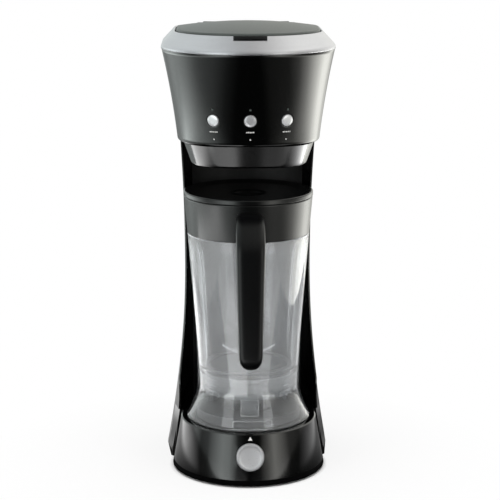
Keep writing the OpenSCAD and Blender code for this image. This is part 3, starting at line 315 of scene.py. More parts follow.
def fitted(piece, body, slot, *nodes):
    """Fixes a piece to its body and hides the CAD nodes that it stands for. The slot is not used."""
    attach(piece, body)
    if nodes:
        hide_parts(*nodes)
    return piece


deep_black = (0.0009, 0.001, 0.001), (0.0015, 0.0016, 0.0016)
gloss_black = finish("polished_black_moulding", *deep_black, (0.08, 0.14), 1.4, 0.004, worn=0.5, IOR=1.5,
                     Coat_Weight=0.25, Coat_Roughness=0.05)
matte_black = finish("satin_black_moulding", (0.0012, 0.0013, 0.0015), (0.002, 0.0021, 0.0024), (0.26, 0.36),
                     0.5, 0.012, worn=0.5, IOR=1.36)
rubber_dark = finish("black_rubber", (0.02, 0.02, 0.02), (0.03, 0.03, 0.03), (0.6, 0.8), 0.4, 0.03, IOR=1.45)
screw_steel = finish("zinc_plated_steel", (0.50, 0.51, 0.53), (0.42, 0.43, 0.45), (0.24, 0.4), 0.6, 0.006,
                     worn=0.3, Metallic=1.0)
base_black = finish("polished_black_base", *deep_black, (0.08, 0.14), 1.4, 0.004, IOR=1.5, Coat_Weight=0.25,
                    Coat_Roughness=0.05)
band_black = finish("dull_black_band", (0.0008, 0.0008, 0.0009), (0.0014, 0.0014, 0.0015), (0.6, 0.8), 2.4,
                    0.006, IOR=1.1)
painted(base_black, "base_shell")
painted(matte_black, "base_bottom_cover", "cord_gland")
painted(rubber_dark, "base_feet", "shaft_seal")
painted(screw_steel, "base_cover_screws", "motor_screws", "motor_bracket", "motor_can", "release_spring",
        "lid_hinge_pins")
band_foot, band_brow = base_reach(2), band_top - band_bevel
band = [(band_foot - band_sunk, band_low), (band_foot, band_low), (band_foot + band_rise, 2.2),
        (base_reach(band_brow) + band_rise, band_brow), (base_reach(band_top), band_top),
        (base_reach(band_top) - band_sunk, band_top)]
rings = [[(r * sin(a), -r * cos(a), z) for r, z in band]
         for a in [radians(turn) for turn in range(-band_turn, band_turn + 1, 2)]]
fitted(moulding("base_band", skin(rings, "capped"), band_black), "housing", "matte_black")


# Tower: two half shells of polished black, which meet in a seam down the rear wall. They narrow to a waist
# and wrap round the pitcher at the front. The smooth front panel clips in between them.
waist_w, waist_z, tower_top_w, tower_foot_w, tower_front_w = 60.3, 195.0, 64.0, 79.6, 73.4
tower_front_y, wall_y, wall, panel_r, panel_angle, seam = 14.0, 91.5, 2.6, 67.0, 52.0, 0.15
head_z, tip_blunt, nose_share, nose_step, side_lead, side_least, side_round = 318.0, 1.5, 0.4, 0.6, 18, 8, 6
tip_round, tower_corner, tower_corner_least, tower_corner_loss, corner_lead = 0.35, 24.0, 10.0, 0.6, 1.3


def tower_w(z):
    """Half width of the tower at a height, waisted between its foot and the head."""
    if z < waist_z:
        return waist_w + (tower_foot_w - waist_w) * ((waist_z - z) / waist_z) ** 2
    return waist_w + (tower_top_w - waist_w) * ((z - waist_z) / (head_z - waist_z)) ** 2


def eased(corners, closed=True, steps=4, support=0.5):
    """An outline whose corners (x, y, radius) are rounded, with a point near each round to hold the flats."""
    outline = []
    for i, (x, y, radius) in enumerate(corners):
        if radius <= 0 or (not closed and i in (0, len(corners) - 1)):
            outline.append((x, y))
            continue
        corner = Vector((x, y))
        back = Vector(corners[i - 1][:2]) - corner
        ahead = Vector(corners[(i + 1) % len(corners)][:2]) - corner
        room = 0.8 * min(back.length, ahead.length)
        back.normalize()
        ahead.normalize()
        half = back.angle(ahead) / 2
        cut = min(radius / tan(half), room) if half < 1.56 else 0.0
        first, last = corner + back * cut, corner + ahead * cut
        centre = corner + (back + ahead).normalized() * (cut / cos(half)) if cut else corner
        span = (first - centre).angle(last - centre, 0.0) if cut else 0.0
        hold = max(0.0, min(support, room - cut))
        outline.append(tuple(corner + back * (cut + hold)))
        for k in range(steps + 1):
            t = k / steps
            if span < 0.02:
                outline.append(tuple(first.lerp(last, t)))
                continue
            arm = (first - centre) * sin((1 - t) * span) + (last - centre) * sin(t * span)
            outline.append(tuple(centre + arm / sin(span)))
        outline.append(tuple(corner + ahead * (cut + hold)))
    return outline


def tower_path(z, inset, concave_r, side):
    """Half of the tower's plan at a height: hollow front, blunt tip, side wall, rear corner, rear seam."""
    half, front = tower_w(z) - inset, tower_front_y + inset
    hollow = concave_r + inset
    tip_x = min(half - tip_blunt, sqrt(hollow ** 2 - front ** 2))
    tip_y = sqrt(hollow ** 2 - tip_x ** 2)
    nose_x = tip_x + max(tip_blunt, nose_share * (min(half, tower_front_w - inset) - tip_x))
    start, stop = radians(panel_angle + 0.1), atan2(tip_x, tip_y)
    arc = [(hollow * sin(a), hollow * cos(a)) for a in [start + (stop - start) * k / 17 for k in range(17)]]
    corner = max(tower_corner_least, tower_corner - tower_corner_loss * (tower_foot_w - tower_w(z))) - inset
    lead = wall_y - inset - corner_lead * corner
    flare = (half + inset - tower_front_w) / (tower_foot_w - tower_front_w) * (lead - tower_front_y)
    corners = [(*arc[-1], 0), (tip_x, tip_y, tip_round), (nose_x, tip_y + nose_step, tip_round),
               (half, max(min(lead, tip_y + max(side_lead, flare)), tip_y + side_least), side_round),
               (half, wall_y - inset, corner), (seam / 2, wall_y - inset, 0)]
    path = arc + eased(corners, closed=False, steps=8)[1:]
    return [(side * x, y, z) for x, y in path]


foot_levels = [edge_z, 5, 10, 16, 22, 28, 34, 40, 45, platform_z]
tower_levels = foot_levels + [platform_z + 6.1 * k for k in range(44)] + [head_z]
for side, name in ((-1, "left"), (1, "right")):
    rings = []
    for i, z in enumerate(tower_levels):
        hollow = base_reach(min(z, platform_z - platform_break)) + seam if i < len(foot_levels) else panel_r
        outer, inner = tower_path(z, 0, hollow, side), tower_path(z, wall, hollow, side)
        rings.append(outer + inner[::-1])
    points, faces = skin(rings, "open")
    ring = len(rings[0])
    for low in (0, (len(rings) - 1) * ring):
        faces += [(low + k, low + k + 1, low + ring - 2 - k, low + ring - 1 - k) for k in range(ring // 2 - 1)]
    half = moulding(f"tower_{name}", (points, faces), gloss_black)
    fitted(half, "housing", "gloss_black", f"tower_{name}_shell")
panel_black = finish("smooth_black_panel", (0.0014, 0.0014, 0.0016), (0.0024, 0.0024, 0.0026), (0.4, 0.55),
                     1.6, 0.003, worn=0.3, IOR=1.3)
painted(panel_black, "tower_front_panel")


# Head: a polished black moulding, a rounded wedge that widens to the silver rim. Its front is pierced for the
# three buttons and their lenses, and its floor for the outlet's stem. It is screwed to the tower from inside.
head_top, head_floor, head_edge, stem_bore = 401.5, 320.6, 2.2, 9.65
head_bottom_w, head_bottom_reach, head_top_r, head_square, head_bow = 65.7, 64.5, 80.0, 2.5, 4.8
head_corner_r, button_z, button_step, button_hole, lens_z, lens_hole = 38.0, 342.0, 28, 5.8, 352.0, 1.15
button_row_z, button_rows, button_lip, lens_row_z, lens_rows, lens_lip = 334.8, 8, 0.9, 350, 4, 0.4


def head_span(z, low):
    """Half width or reach of the head at a height, a little hollow between its floor and its top."""
    share = (z - head_z) / (head_top - head_z)
    return low + (head_top_r - low) * share - head_bow * share * (1 - share)


def head_point(z, turn, inset=0.0):
    """A point of the head's front, by height and by the angle turned from straight ahead."""
    power = head_square + (2 - head_square) * (z - head_z) / (head_top - head_z)
    across = abs(sin(turn)) / (head_span(z, head_bottom_w) - inset)
    ahead = max(0.0, cos(turn)) / (head_span(z, head_bottom_reach) - inset)
    reach = (across ** power + ahead ** power) ** (-1 / power)
    return Vector((reach * sin(turn), -reach * cos(turn), z))


def head_ring(z, inset):
    """The head's outline at a height: the bowed front in steps of a degree, then sides and rear corners."""
    half, rear = head_span(z, head_bottom_w) - inset, wall_y - inset
    corner = head_corner_r - inset - head_top_r + head_span(z, head_bottom_w)
    ring = [head_point(z, radians(turn), inset) for turn in range(-90, 91)]
    right = [(half, (rear - corner) * k / 4) for k in (1, 2, 3)] + [
        (half - corner + corner * cos(a), rear - corner + corner * sin(a))
        for a in [radians(6 * k) for k in range(16)]]
    right += [((half - corner) * 0.5, rear)]
    ring += [Vector((x, y, z)) for x, y in right] + [Vector((0, rear, z))]
    return ring + [Vector((-x, y, z)) for x, y in right[::-1]]


def bore(ring, radius, z):
    """A circle with a point towards each point of a ring."""
    return [Vector((radius * p.x / p.xy.length, radius * p.y / p.xy.length, z)) for p in ring]


def on_head(z, turn):
    """The place and turn of a button on the head's front: its own z axis points out of the head."""
    slope = atan((head_span(z + 5, head_bottom_reach) - head_span(z - 5, head_bottom_reach)) / 10)
    tilt = Matrix.Rotation(turn, 4, "Z") @ Matrix.Rotation(pi / 2 + slope, 4, "X")
    return Matrix.Translation(head_point(z, turn)) @ tilt


button_levels = [button_row_z + 1.8 * k for k in range(button_rows + 1)]
lens_levels = [lens_row_z + k for k in range(lens_rows + 1)]
head_levels = [head_floor, 322, 324, 326.5, 329, 331.5] + button_levels + lens_levels + [
    356, 359, 363, 367, 371, 375, 379, 383, 387, 391, 395, 398.5, 401.0]
edge_rows = [(head_edge * (1 - sin(a)), head_z + head_edge * (1 - cos(a)))
             for a in [radians(15 * k) for k in range(6)]]
rings = [head_ring(z, inset) for inset, z in edge_rows] + [head_ring(z, 0) for z in head_levels]
first_row = len(edge_rows)
rings += [head_ring(head_top - 0.12, 0.12), head_ring(head_top, 0.5), head_ring(head_top, wall)]
inner_top = len(rings)
rings += [head_ring(z, wall) for z in head_levels[::-1]]
rings += [bore(rings[-1], stem_bore, head_floor), bore(rings[0], stem_bore, head_z)]
points, faces = skin(rings)
count = len(rings[0])


def pierced(points, faces, low, tall, turn, half_turn, radius, lip, place):
    """Opens a round hole with a softened lip through both walls, in a patch of rows and of degrees."""
    columns = range(90 + turn - half_turn, 90 + turn + half_turn + 1)
    rows = range(first_row + low, first_row + low + tall + 1)
    gone, border = set(), []
    for outer in (True, False):
        at = (lambda r: r) if outer else (lambda r: inner_top + len(head_levels) - 1 - (r - first_row))
        gone |= {frozenset(at(row) * count + c + side for row in (r, r + 1) for side in (0, 1))
                 for r in rows[:-1] for c in columns[:-1]}
        edge = ([(rows[0], c) for c in columns] + [(r, columns[-1]) for r in rows[1:]] +
                [(rows[-1], c) for c in columns[-2::-1]] + [(r, columns[0]) for r in rows[-2:0:-1]])
        border.append([at(r) * count + c for r, c in edge])
    faces[:] = [f for f in faces if frozenset(f) not in gone]
    flat = place.inverted()
    loops = [border[0]]
    for share, sink in ((1, 0.0), (0.5, 0.0), (0.25, 0.05), (0.08, 0.18), (0, 0.45), (0, wall)):
        loop, reach = [], radius + lip * share
        for index in border[0]:
            arm = flat @ points[index]
            angle = atan2(arm.y, arm.x)
            spot = place @ Vector((reach * cos(angle), reach * sin(angle), 0))
            loop.append(len(points))
            points.append(head_point(spot.z, atan2(spot.x, -spot.y), sink))
        loops.append(loop)
    loops.append(border[1])
    for one, two in zip(loops, loops[1:]):
        faces += [(one[k], one[(k + 1) % len(one)], two[(k + 1) % len(one)], two[k]) for k in range(len(one))]


button_row, lens_row = head_levels.index(button_row_z), head_levels.index(lens_row_z)
for turn in (-button_step, 0, button_step):
    angle = radians(turn)
    pierced(points, faces, button_row, button_rows, turn, 6, button_hole, button_lip, on_head(button_z, angle))
    pierced(points, faces, lens_row, lens_rows, turn, 2, lens_hole, lens_lip, on_head(lens_z, angle))
fitted(moulding("head", (points, faces), gloss_black), "housing", "gloss_black", "head_shell")


# Outlet neck: a smaller black moulding under the head that hides the spout and reaches over the pitcher's
# inlet. It has soft lower corners, and snaps into the head's floor.
neck_z, neck_floor, neck_square, neck_rear, neck_edge = 297.5, 300.1, 3.2, 33.5, 2.0
neck_r, neck_low_w, neck_low_reach, neck_flare = panel_r - seam, 53.5, 55.5, 7.0


def neck_ring(z, inset):
    """The neck's outline at a height: a squared front, and a rear that follows the tower's hollow."""
    share = (z - neck_z) / (head_z - neck_z)
    half, reach = neck_low_w + neck_flare * share - inset, neck_low_reach + neck_flare * share - inset
    ring = []
    for turn in range(-90, 91, 2):
        angle = radians(turn)
        arm = ((abs(sin(angle)) / half) ** neck_square + (max(0, cos(angle)) / reach) ** neck_square)
        ring.append(Vector((sin(angle), -cos(angle), 0)) * arm ** (-1 / neck_square) + Vector((0, 0, z)))
    hollow, rear = neck_r - inset, neck_rear - inset
    side = min(rear - 0.6, sqrt(hollow ** 2 - half ** 2))
    back = min(half - 0.6, sqrt(hollow ** 2 - rear ** 2))
    right = [Vector((x, y, z)) for x, y in ((half, side / 2), (half, side), (back, rear), (back / 2, rear))]
    return ring + right + [Vector((0, rear, z))] + [Vector((-p.x, p.y, z)) for p in right[::-1]]


rings = [neck_ring(neck_z + neck_edge * (1 - cos(a)), neck_edge * (1 - sin(a)))
         for a in [radians(10 * k) for k in range(10)]]
rings += [neck_ring(z, 0) for z in (301.6, 304, 308, 312, 315, 317.4, head_z)]
rings += [neck_ring(z, wall) for z in (head_z, 312, 306, 303, neck_floor)]
rings += [bore(rings[-1], stem_bore, neck_floor), bore(rings[0], stem_bore, neck_z)]
neck_black = finish("softly_polished_black", *deep_black, (0.14, 0.19), 1.4, 0.004, worn=0.2, IOR=1.5,
                    Coat_Weight=0.15, Coat_Roughness=0.13)
neck = fitted(moulding("neck", skin(rings), neck_black), "housing", "gloss_black", "outlet_neck")


def mirrored_only_by(piece, *names):
    """Lets only this piece mirror some of the cards."""
    mirror = bpy.data.collections.new(f"mirror_{piece.name}")
    mirror.objects.link(piece)
    for name in names:
        cards[name].light_linking.receiver_collection = mirror


mirrored_only_by(neck, "left_card", "right_card")


# Top rim: a cap of brushed silver, clipped onto the head. A bright lip runs round below, the slope rises to
# the lid, a finger notch is cut in front, and the lid's barrel lies in a cut at the rear.
brushed_silver = finish("brushed_silver", (0.55, 0.55, 0.575), (0.49, 0.49, 0.515), (0.26, 0.4), 0.9, 0.006,
                        worn=0.4, stretch=(1, 1, 14), Metallic=0.85, IOR=1.5)
notch_w, notch_z, barrel_z, barrel_y, barrel_r = 15.0, 413.3, 417.0, 82.0, 4.0
d_corner, d_side, d_rear = 42.5, 54.0, 11.5
rim_r, rim_lip, rim_in, rim_rise = 80.5, 404.5, 13.3, 14.0
ledge_r, ledge_z, seat_r, seat_z = 67.2, 411.6, 64.2, 408.8


def d_ring(offset, steps=(26, 12, 12)):
    """A round-fronted outline at a distance from its spine: (x, y, where) with notch and rear marked."""
    notch = asin(notch_w / offset)
    right = [(offset * sin(notch * k / steps[1]), -offset * cos(notch * k / steps[1]), "notch")
             for k in range(steps[1] + 1)]
    right += [(offset * sin(a), -offset * cos(a), "side")
              for a in [notch + (pi / 2 - notch) * k / steps[0] for k in range(steps[0] + 1)]]
    right += [(offset, d_side * k / 4, "side") for k in (1, 2, 3)]
    corner = offset - d_corner
    right += [(d_corner + corner * cos(a), d_side + corner * sin(a), "side")
              for a in [pi / 2 * k / steps[2] for k in range(steps[2] + 1)]]
    right += [(d_corner, offset + d_rear, "rear"), (d_corner / 2, offset + d_rear, "rear")]
    return right + [(0, offset + d_rear, "rear")] + [(-x, y, where) for x, y, where in right[:0:-1]]


slope = [(rim_r - rim_in * t, rim_lip + rim_rise * t, 0) for t in (0.25, 0.45, 0.62, 0.635, 0.75, 0.85)]
profile = eased([(rim_r, head_top, 0.5), (rim_r, rim_lip, 5.0)] + slope + [
    (ledge_r, rim_lip + rim_rise, 0.9), (ledge_r, ledge_z, 0.3), (seat_r, ledge_z, 0.4), (seat_r, seat_z, 0.3),
    (70.2, seat_z, 0.3), (75.3, head_top, 0.3)])
highest = {"notch": notch_z, "rear": barrel_z - barrel_r - 0.4}
rings = [[(x, y, min(z, highest.get(where, z))) for x, y, where in d_ring(offset)] for offset, z in profile]
fitted(moulding("rim", skin(rings), brushed_silver, crease=38), "housing", "silver_rim", "top_rim")


# Lid: a shallow dome of satin grey with a dark lip in the finger notch. Its barrel turns on two pins at the
# rear. Lid and lip are separate mouldings, snapped together.
lid_grey = finish("satin_grey_moulding", (0.052, 0.060, 0.056), (0.064, 0.072, 0.068), (0.36, 0.46), 0.6,
                  0.008, worn=0.4, IOR=1.48, Metallic=0.25)
lid_q, lid_low, lid_round, lid_flat, lip_top = 66.2, 412.0, 1.6, 56, 417.4
dome_top, dome_y, dome_side_r, dome_front_r, dome_rear_r = 424.3, 15.0, 460.0, 620.0, 480.0


def dome(x, y, sink=0.0):
    """Height of the lid's dome or its underside over a place; it falls faster to the sides and the rear."""
    along = dome_front_r if y < dome_y else dome_rear_r
    return dome_top - sink - x ** 2 / (2 * dome_side_r) - (y - dome_y) ** 2 / (2 * along)


def lid_ring(offset, low=None, sink=0.0, share=1.0):
    """A ring of the lid at a height, or on the dome; share draws it in towards the middle."""
    ring = []
    for x, y, _ in d_ring(offset):
        x, y = x * share, dome_y + (y - dome_y) * share
        ring.append((x, y, low if low is not None else dome(x, y, sink)))
    return ring


def together(*shapes):
    """One shape from several."""
    points, faces = [], []
    for more, sides in shapes:
        faces += [tuple(len(points) + i for i in f) for f in sides]
        points += more
    return points, faces


rings = [lid_ring(lid_flat, share=s) for s in (0, 0.06, 0.25, 0.5, 0.75, 0.9)]
rings += [lid_ring(q) for q in (lid_flat, 60, 63, 64.2)]
for a in [radians(15 * k) for k in range(7)]:
    rings.append([(x, y, dome(x, y) - lid_round * (1 - cos(a)))
                  for x, y, _ in d_ring(lid_q - lid_round * (1 - sin(a)))])
rings += [lid_ring(lid_q, 415), lid_ring(lid_q, lid_low + 0.4), lid_ring(lid_q - 0.4, lid_low)]
lid_in = lid_q - wall
rings += [lid_ring(lid_in, lid_low), lid_ring(lid_in, 414), lid_ring(lid_in - 0.1, sink=wall)]
rings += [lid_ring(lid_flat, sink=wall, share=s) for s in (1, 0.5, 0)]
hinge_x, arm_x = 41.6, 41.2
hinge = [[(x, barrel_y + r * cos(a), barrel_z + r * sin(a)) for a in [tau * k / 40 for k in range(40)]]
         for x, r in ((-hinge_x, 2.0), (-hinge_x, 2.3), (-arm_x, 2.7), (arm_x, 2.7), (hinge_x, 2.3),
                      (hinge_x, 2.0))]
arm = [[(x, y, z) for y, z in ((76.9, 415), (80, 415), (80, 417.2), (76.9, 417.4))] for x in (-arm_x, arm_x)]
lid = together(skin(rings, "open"), skin(hinge), skin(arm, "capped"))
fitted(moulding("lid", lid, lid_grey), "lid", "lid_grey", "top_lid")

lip = eased([(66.6, 413.7, 0.3), (69.4, 413.7, 0.4), (69.3, 415.2, 0.5), (68.0, 416.9, 0.8),
             (66.6, lip_top, 0.3)])
rings, lip_half, lip_steps = [], 14.5, 24
for k in range(-lip_steps, lip_steps + 1):
    x = lip_half * k / lip_steps
    shut = 0.25 if abs(k) == lip_steps else 0.0
    rings.append([(x, -sqrt(max(q - shut, 66.4) ** 2 - x * x * 0.9), min(z, lip_top - shut)) for q, z in lip])
fitted(moulding("lid_lip", skin(rings, "capped"), matte_black), "lid", "matte_black", "lid_tab")


# Mode buttons: three silver-painted plungers with slightly domed faces, each in its own hole, with plain
# pale dots below. Above each stands the end of a smoked light pipe.
def turned(profile, place=Matrix.Identity(4), steps=72, ends="open"):
    """A shape turned about its own z axis from (radius, height) points, then put in its place."""
    rings = [[place @ Vector((r * cos(tau * k / steps), r * sin(tau * k / steps), h))
              for k in range(steps)] for r, h in profile]
    return skin(rings, ends)


button_silver = finish("silver_paint", (0.78, 0.785, 0.80), (0.66, 0.665, 0.68), (0.22, 0.42), 0.35, 0.012,
                       worn=0.3, Metallic=0.7, IOR=1.5)
face_r, flange_r, flange_top, flange_low = 5.35, 7.4, -6.0, -7.4
plunger = eased([(0, 0.8, 0), (3.1, 0.78, 2.0), (face_r, 0.35, 0.5), (face_r, flange_top, 0.2),
                 (flange_r, flange_top, 0.2), (flange_r, flange_low, 0.2), (0, flange_low, 0)], closed=False)
for turn, key in ((-1, "brew"), (0, "frappe"), (1, "blend")):
    place = on_head(button_z, radians(turn * button_step))
    button = moulding(f"{key}_face", turned(plunger, place, 64), button_silver, crease=45)
    fitted(button, f"{key}_key", "button_silver", f"{key}_button")

lens_plastic = finish("smoked_light_pipe", (0.07, 0.09, 0.08), (0.05, 0.065, 0.06), (0.08, 0.14), 0.8, 0.002,
                      IOR=1.49)
lens_rod = eased([(0, 0.2, 0), (0.6, 0.17, 0.5), (1.05, -0.1, 0.2), (1.05, -3.6, 0.1), (0, -3.6, 0)],
                 closed=False)
lenses = together(*[turned(lens_rod, on_head(lens_z, radians(turn)), 24)
                    for turn in (-button_step, 0, button_step)])
fitted(moulding("lenses", lenses, lens_plastic), "housing", "lens", "indicator_lenses")

print_white = finish("pale_print", (0.72, 0.72, 0.70), (0.62, 0.62, 0.60), (0.4, 0.55), 0.3, 0.004, IOR=1.45)
dots = [(across, 331.8, 0.6) for across in (-3, -1.5, 0, 1.5, 3)] + [(0, 325, 0.7)]
dot_turn_r, print_rise = 66.0, 0.05
marks = together(*[turned([(0, print_rise), (size, print_rise), (size + 0.05, -print_rise)],
                          on_head(z, radians(turn) + across / dot_turn_r), 16)
                   for turn in (-button_step, 0, button_step) for across, z, size in dots])
fitted(moulding("button_marks", marks, print_white), "housing", "switch_plastic")


# Release button: a silver-painted plunger with a bright rolled rim and a shallow speckled dish, in the slanted
# front of the base. A plain arrow printed above it shows where the pitcher locks.
release_z, arrow_z, dish_r, press_r, press_flange_r = 28.5, 45.4, 10.0, 13.0, 14.5
base_tilt = atan((base_r - platform_r) / (platform_z - platform_break - edge_z))


def on_base(z):
    """The place and turn of a mark on the base's front, which leans back."""
    return Matrix.Translation((0, -base_reach(z), z)) @ Matrix.Rotation(pi / 2 - base_tilt, 4, "X")


dish = [(dish_r * k / 8, 0.2 + 0.75 * (k / 8) ** 2.4) for k in range(9)]
press = dish + eased([
    (dish_r, 0.95, 0), (10.3, 1.35, 0.5), (11.1, 1.6, 0.5), (12.2, 1.6, 0.6), (press_r, 0.9, 0.6),
    (press_r, -6.6, 0.2), (press_flange_r, -6.6, 0.2), (press_flange_r, -8.0, 0.2), (0, -8.0, 0)],
    closed=False)[1:]
release_silver = finish("speckled_silver", (0.54, 0.545, 0.555), (0.42, 0.425, 0.435), (0.25, 0.5), 0.9, 0.05,
                        worn=0.5, Metallic=0.4, IOR=1.5)
fitted(moulding("release", turned(press, on_base(release_z), 96), release_silver, crease=50), "release",
       "button_silver", "release_button")
arrow = ((-2.0, -1.6), (2.0, -1.6), (0, 2.0))
rings = [[on_base(arrow_z) @ Vector((x, y, h)) for x, y in arrow] for h in (0.06, -0.1)]
fitted(moulding("lock_arrow", skin(rings, "capped"), print_white), "housing", "switch_plastic")


# Pitcher jar: one clear moulding. The cup, a little hazy from use, flares up to the shoulder. The skirt below
# its waist stands on the base, and the blade base screws into the threaded tube under the cup's floor.
jar_foot, jar_waist, shoulder_z, jar_top = 50.1, 81, 229, 262
waist_r, shoulder_r, skirt_flare = 48.5, 57.4, 10.6
jar_neck_r, jar_neck_in, tube_r, tube_in, tube_foot, floor_z, floor_low = 54.5, 52.0, 42.8, 40.2, 76, 100, 97
thread_z, thread_pitch, thread_deep = 78, 5.5, 0.9
haze_from, haze_full, skirt_clear, cup_clear = 78, 88, 0.972, 0.86


def jar_r(z):
    """Outer radius of the jar at a height, narrowest at its waist."""
    if z > jar_waist:
        share = (z - jar_waist) / (shoulder_z - jar_waist)
        return waist_r + (shoulder_r - waist_r) * (1.78 * share ** 2 - 0.78 * share ** 3)
    return waist_r + skirt_flare * ((jar_waist - z) / (jar_waist - jar_foot)) ** 1.55


clear_jar = finish("clear_jar", (0.94, 0.955, 0.965), (0.90, 0.92, 0.93), (0.02, 0.07), 2.5, 0.004, IOR=1.49,
                   Specular_IOR_Level=0.12)
tree = clear_jar.node_tree
add = links_of(tree)
height = add("ShaderNodeSeparateXYZ", Vector=add("ShaderNodeTexCoord").outputs["Object"])
haze = spanned(add, height.outputs["Z"], haze_from * MM, haze_full * MM, skirt_clear, cup_clear)
surface = next(n for n in tree.nodes if n.bl_idname == "ShaderNodeBsdfPrincipled")
tree.links.new(haze.outputs[0], surface.inputs["Transmission Weight"])
skirt = [50.5 + 1.6 * k for k in range(19)]
cup = [82.5 + 4.5 * k for k in range(32)]
profile = [(jar_r(jar_foot) - 0.4, jar_foot)] + [(jar_r(z), z) for z in skirt + cup]
profile += eased([(jar_r(226), 226, 0), (shoulder_r, shoulder_z, 0.8), (jar_neck_r, shoulder_z + 0.2, 0.4),
                  (jar_neck_r, jar_top, 0.8), (jar_neck_in, jar_top, 0.8), (jar_neck_in, 230, 4.0),
                  (jar_r(222) - wall, 222, 0)], closed=False)
profile += [(jar_r(z) - wall, z) for z in cup[-2::-1] if 103 < z < 220]
profile += eased([(jar_r(103) - wall, 103, 0), (jar_r(floor_z) - wall, floor_z, 2.4), (tube_in, floor_z, 0.5),
                  (tube_in, tube_foot, 0.3), (tube_r, tube_foot, 0.4)], closed=False)
profile += [(tube_r + thread_deep * max(0, sin(tau * rise / thread_pitch)), thread_z + rise)
            for rise in [0.55 * k for k in range(31)]]
profile += eased([(tube_r, 96, 0), (tube_r, floor_low, 0.6), (jar_r(floor_low) - wall, floor_low, 0.8),
                  (jar_r(93) - wall, 93, 0)], closed=False)
profile += [(jar_r(z) - wall, z) for z in (90, 87, 84)] + [(jar_r(z) - wall, z) for z in skirt[::-1]]
profile += [(jar_r(jar_foot) - wall + 0.4, jar_foot)]
jar = moulding("jar", turned(profile, steps=128, ends="joined"), clear_jar, crease=50)
fitted(jar, "pitcher", "clear_jar", "pitcher_jar")


def repeated(name, shape, material, count):
    """Copies of one solid, evenly turned about the pitcher's axis, made by a node group."""
    one = moulding(name, shape, material, crease=40)
    group = bpy.data.node_groups.new(name, "GeometryNodeTree")
    for label, kind, way in (
            ("Solid", "NodeSocketGeometry", "INPUT"), ("Count", "NodeSocketInt", "INPUT"),
            ("Finish", "NodeSocketMaterial", "INPUT"), ("Ring", "NodeSocketGeometry", "OUTPUT")):
        group.interface.new_socket(label, in_out=way, socket_type=kind)
    add = links_of(group)
    given = add("NodeGroupInput")
    places = add("GeometryNodePoints", Count=given.outputs["Count"])
    share = add("ShaderNodeMath", add("GeometryNodeInputIndex"), given.outputs["Count"], operation="DIVIDE")
    turn = add("ShaderNodeMath", share, tau, operation="MULTIPLY")
    facing = add("FunctionNodeAxisAngleToRotation", Axis=(0, 0, 1), Angle=turn)
    copies = add("GeometryNodeInstanceOnPoints", Points=places, Instance=given.outputs["Solid"],
                 Rotation=facing)
    solid = add("GeometryNodeRealizeInstances", Geometry=copies)
    dressed = add("GeometryNodeSetMaterial", Geometry=solid, Material=given.outputs["Finish"])
    add("NodeGroupOutput", Ring=dressed)
    spread = one.modifiers.new(name, "NODES")
    spread.node_group = group
    sockets = {s.name: s.identifier for s in group.interface.items_tree if s.in_out == "INPUT"}
    spread[sockets["Count"]] = count
    spread[sockets["Finish"]] = material
    made = bpy.data.meshes.new_from_object(one.evaluated_get(bpy.context.evaluated_depsgraph_get()))
    one.modifiers.clear()
    one.data = made
    return one


rib_z, rib_step, rib_deep = 104, 10, 2.0
rib = ((-1.5, 0), (-1.3, 0.5), (-0.7, 1), (0, 1.15), (0.7, 1), (1.3, 0.5), (1.5, 0))
rings = []
for k in range(13):
    z = rib_z + rib_step * k
    back, rise = jar_r(z) - wall - 0.1, rib_deep * min(1, (k + 0.3) / 1.5, (12.3 - k) / 1.5)
    rings.append([(x, -sqrt((back - deep * rise) ** 2 - x * x), z) for x, deep in rib])
fitted(repeated("jar_ribs", skin(rings, "capped"), clear_jar, 6), "pitcher", "clear_jar")
frosted = finish("frosted_clear", (0.80, 0.82, 0.82), (0.72, 0.74, 0.74), (0.1, 0.25), 0.6, 0.01, IOR=1.49,
                 Transmission_Weight=0.78)
lug = eased([(-1.2, -43.9, 0.3), (1.2, -43.9, 0.3), (1.0, -45.2, 0.4), (-1.0, -45.2, 0.4)])
lug_y = -44.5
rings = [[(x * s, lug_y + (y - lug_y) * s, z) for x, y in lug]
         for s, z in ((0.7, 76.4), (1, 76.9), (1, 80.4), (0.7, 80.9))]
fitted(repeated("thread_lugs", skin(rings, "capped"), frosted, 36), "pitcher", "clear_jar")


def skirt_bead(path, half, rise):
    """A raised line on the skirt's front along a closed path of (way across, height) points."""
    spots = []
    for across, z in path:
        turn = across / jar_r(z)
        slope = atan2(jar_r(z - 0.5) - jar_r(z + 0.5), 1.0)
        out = Vector((sin(turn) * cos(slope), -cos(turn) * cos(slope), sin(slope)))
        spots.append((Vector((jar_r(z) * sin(turn), -jar_r(z) * cos(turn), z)), out))
    rings = []
    for k, (spot, out) in enumerate(spots):
        side = out.cross((spots[(k + 1) % len(spots)][0] - spots[k - 1][0]).normalized()).normalized()
        rings.append([spot + side * half * cos(a) + out * (0.06 + rise * max(0.0, sin(a)))
                      for a in [radians(45 * step) for step in range(5)]])
    return skin(rings)


def framed(x0, x1, z0, z1, radius):
    """A closed rectangle with round corners and evenly spread points."""
    corners = eased([(x0, z0, radius), (x1, z0, radius), (x1, z1, radius), (x0, z1, radius)])
    path = []
    for one, two in zip(corners, corners[1:] + corners[:1]):
        pieces = max(1, round(dist(one, two) / 1.2))
        path += [tuple(Vector(one).lerp(Vector(two), k / pieces)) for k in range(pieces)]
    return path


bead_half, bead_rise = 0.4, 0.35
marks = together(*[skirt_bead(path, bead_half, bead_rise)
                   for path in (framed(-8.2, 8.2, 63.4, 77.6, 0.8), framed(-16, 21, 51.8, 58.6, 0.8))])
fitted(moulding("skirt_marks", marks, frosted, crease=60), "pitcher", "clear_jar")
clear_base = finish("clear_base", (0.72, 0.75, 0.76), (0.64, 0.67, 0.68), (0.12, 0.24), 1.2, 0.008, IOR=1.49,
                    Transmission_Weight=0.85)
painted(clear_base, "blade_base")


